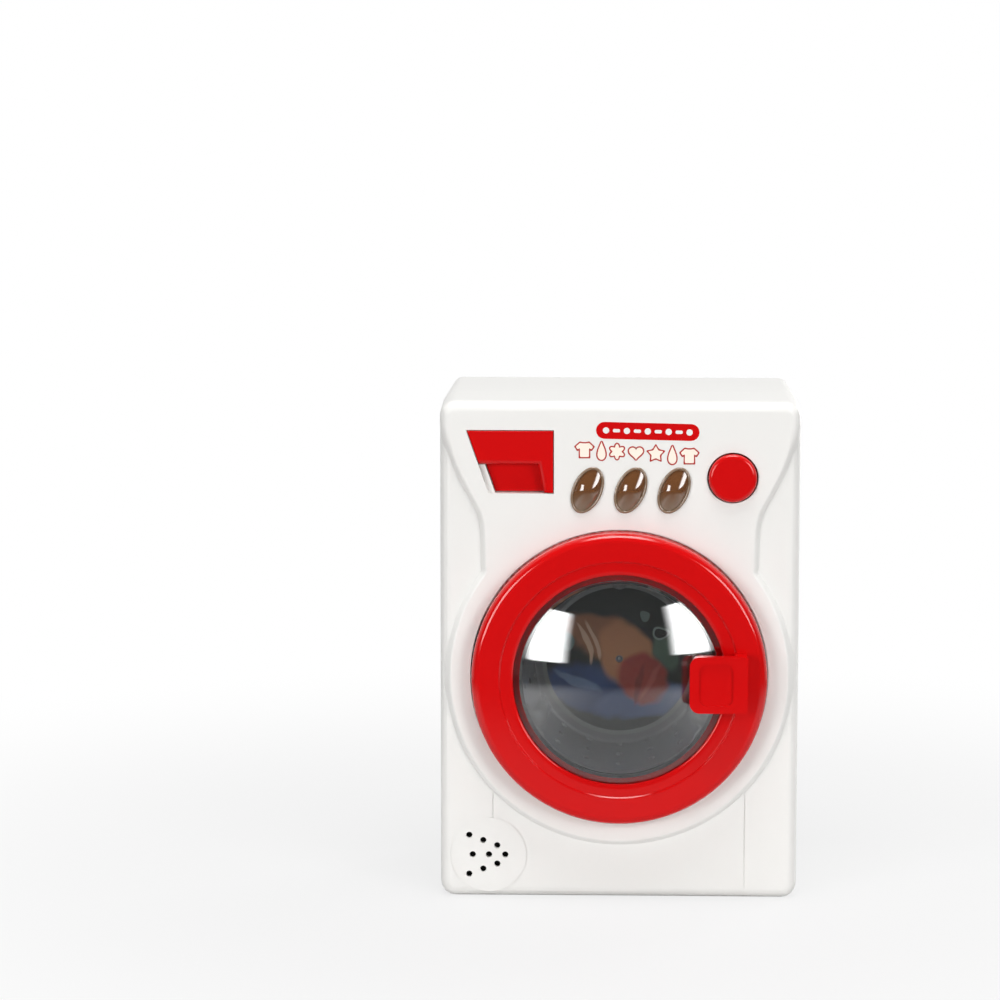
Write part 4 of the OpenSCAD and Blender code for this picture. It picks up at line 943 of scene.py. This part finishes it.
# name, turn and lift in degrees, distance, width and height in metres, and watts
SOFT_BOXES = (
    ("soft_box_left", -39.5, 12, 1.7, 0.86, 0.82, 19),
    ("soft_box_right", 39.5, 16.5, 1.7, 0.86, 0.82, 19),
    ("soft_box_top", 0, 80, 1.8, 1.3, 0.9, 36),
    ("soft_box_rear", 140, 8, 2.2, 1.0, 1.0, 36),
)


def straight_share(tree):
    """The light path, and 1 for rays that the camera sends, also through clear plastic."""
    path = node_of(tree, "ShaderNodeLightPath").outputs
    bounces = maths(tree, "ADD", path["Diffuse Depth"], path["Glossy Depth"])
    direct = maths(tree, "LESS_THAN", bounces, 0.5)
    through = maths(tree, "MULTIPLY", path["Is Transmission Ray"], direct)
    return path, maths(tree, "MAXIMUM", path["Is Camera Ray"], through)


def floor_of(radius):
    """A round floor, white to the camera and soft grey at its sides in mirrors."""
    bm = bmesh.new()
    bmesh.ops.create_circle(bm, cap_ends=True, segments=128, radius=radius)
    mesh = bpy.data.meshes.new("floor")
    bm.to_mesh(mesh)
    bm.free()
    material, tree, shader = new_finish("floor_white", (0.6, 0.6, 0.6), 0.6, Specular_IOR_Level=0.2)
    place = place_on(tree)
    away = magnitude(tree, place)
    aside = maths(tree, "ABSOLUTE", axes(tree, place)["X"])
    path, straight = straight_share(tree)
    shown = maths(tree, "MULTIPLY", straight, faded(tree, away, 0.15, 0.55, 0.75, 1.0))
    share = maths(tree, "MAXIMUM", shown, path["Is Glossy Ray"])
    mirrored = maths(tree, "MULTIPLY", faded(tree, aside, 0.03, 0.28, 0.32, 0.85),
                     faded(tree, away, 0.35, 0.6, 1.0, 0.1))
    glow = node_of(tree, "ShaderNodeEmission", Color=(1, 1, 1, 1))
    tree.links.new(maths(tree, "MAXIMUM", straight, mirrored), glow.inputs["Strength"])
    blended(tree, share, shader.outputs["BSDF"], glow.outputs["Emission"], "Material Output")
    mesh.materials.append(material)
    floor = bpy.data.objects.new("floor", mesh)
    bpy.context.scene.collection.objects.link(floor)


def soft_box(name, turn, lift, away, width, height, power):
    """A soft box aimed at the door, turned round it from the front and lifted above the floor."""
    a, e = math.radians(turn), math.radians(lift)
    target = Vector((0, PANEL_Y, DOOR_Z))
    way = Vector((math.sin(a) * math.cos(e), -math.cos(a) * math.cos(e), math.sin(e)))
    lamp = bpy.data.lights.new(name, "AREA")
    lamp.shape = "RECTANGLE"
    lamp.size = width
    lamp.size_y = height
    lamp.energy = power
    lamp.use_nodes = True
    tree = lamp.node_tree
    # bright in the middle, with sides that fade softly and ends that fade fast
    sides = axes(tree, node_of(tree, "ShaderNodeNewGeometry").outputs["Parametric"])
    across = faded(tree, maths(tree, "PINGPONG", sides["X"], 0.5), 0.0, 0.32, 0.0, 1.0)
    up = faded(tree, maths(tree, "PINGPONG", sides["Y"], 0.5), 0.0, 0.05, 0.0, 1.0)
    strength = maths(tree, "MULTIPLY", across, up)
    tree.links.new(strength, tree.nodes["Emission"].inputs["Strength"])
    box = bpy.data.objects.new(name, lamp)
    box.location = target + way * away
    box.rotation_euler = (-way).to_track_quat("-Z", "Y").to_euler()
    bpy.context.scene.collection.objects.link(box)


def studio_world():
    """White to the camera; mirrors show white behind the object and a dim room in front of it."""
    world = bpy.data.worlds.new("studio")
    world.use_nodes = True
    tree = world.node_tree
    light = tree.nodes["Background"]
    light.inputs["Color"].default_value = (1, 1, 1, 1)
    light.inputs["Strength"].default_value = 0.15
    seen = node_of(tree, "ShaderNodeBackground", Color=(1, 1, 1, 1))
    path, straight = straight_share(tree)
    way = axes(tree, node_of(tree, "ShaderNodeTexCoord").outputs["Generated"])
    backdrop = faded(tree, way["Y"], -0.35, 0.25, 0.08, 0.8)
    tree.links.new(maths(tree, "MAXIMUM", straight, backdrop), seen.inputs["Strength"])
    indirect = maths(tree, "MAXIMUM", path["Is Glossy Ray"], path["Is Transmission Ray"])
    shows_room = maths(tree, "MAXIMUM", straight, indirect)
    blended(tree, shows_room, light.outputs["Background"], seen.outputs["Background"],
            "World Output")
    bpy.context.scene.world = world


def studio_camera(scene):
    """A long lens from above the door's height, as the object is usually shown."""
    data = bpy.data.cameras.new("camera")
    data.sensor_width = 36
    data.lens = 150.9
    camera = bpy.data.objects.new("camera", data)
    camera.location = (-0.0007, -1.997, 0.5038)
    camera.rotation_euler = (math.radians(80.95), 0, math.radians(1.64))
    scene.collection.objects.link(camera)
    scene.camera = camera


class WASHER_OT_stage(bpy.types.Operator):
    """Set the floor, the soft boxes, the world and the camera"""
    bl_idname = "washer.stage"
    bl_label = "Stage"

    def execute(self, context):
        floor_of(radius=0.6)
        for box in SOFT_BOXES:
            soft_box(*box)
        studio_world()
        studio_camera(context.scene)
        context.scene.view_settings.view_transform = "Standard"
        return {"FINISHED"}


class WASHER_PT_panel(bpy.types.Panel):
    """Lists the pieces of the washing machine"""
    bl_label = "Washing machine"
    bl_idname = "WASHER_PT_panel"
    bl_space_type = "VIEW_3D"
    bl_region_type = "UI"
    bl_category = "Washer"

    def draw(self, context):
        column = self.layout.column()
        for group in (context.scene.washer_colours, context.scene.washer_sizes):
            for key in group.bl_rna.properties.keys():
                if key not in ("rna_type", "name"):
                    column.prop(group, key)
        for operator in OPERATORS:
            column.operator(operator.bl_idname)


OPERATORS = (
    WASHER_OT_stage,
    WASHER_OT_hidden_pieces,
    WASHER_OT_casing,
    WASHER_OT_door,
    WASHER_OT_handle,
    WASHER_OT_dome,
    WASHER_OT_drawer,
    WASHER_OT_lenses,
    WASHER_OT_button,
    WASHER_OT_drum,
    WASHER_OT_screws,
    WASHER_OT_prints,
)
CLASSES = (WasherColours, WasherSizes, *OPERATORS, WASHER_PT_panel)


def register():
    """Registers the classes and hangs the two groups of properties on the scene."""
    for item in CLASSES:
        bpy.utils.register_class(item)
    bpy.types.Scene.washer_colours = bpy.props.PointerProperty(type=WasherColours)
    bpy.types.Scene.washer_sizes = bpy.props.PointerProperty(type=WasherSizes)


def unregister():
    """Takes away what register added."""
    del bpy.types.Scene.washer_colours
    del bpy.types.Scene.washer_sizes
    for item in reversed(CLASSES):
        bpy.utils.unregister_class(item)


def main():
    """Builds every piece and the stage."""
    register()
    for operator in OPERATORS:
        group, name = operator.bl_idname.split(".")
        getattr(getattr(bpy.ops, group), name)()


if __name__ == "__main__":
    main()
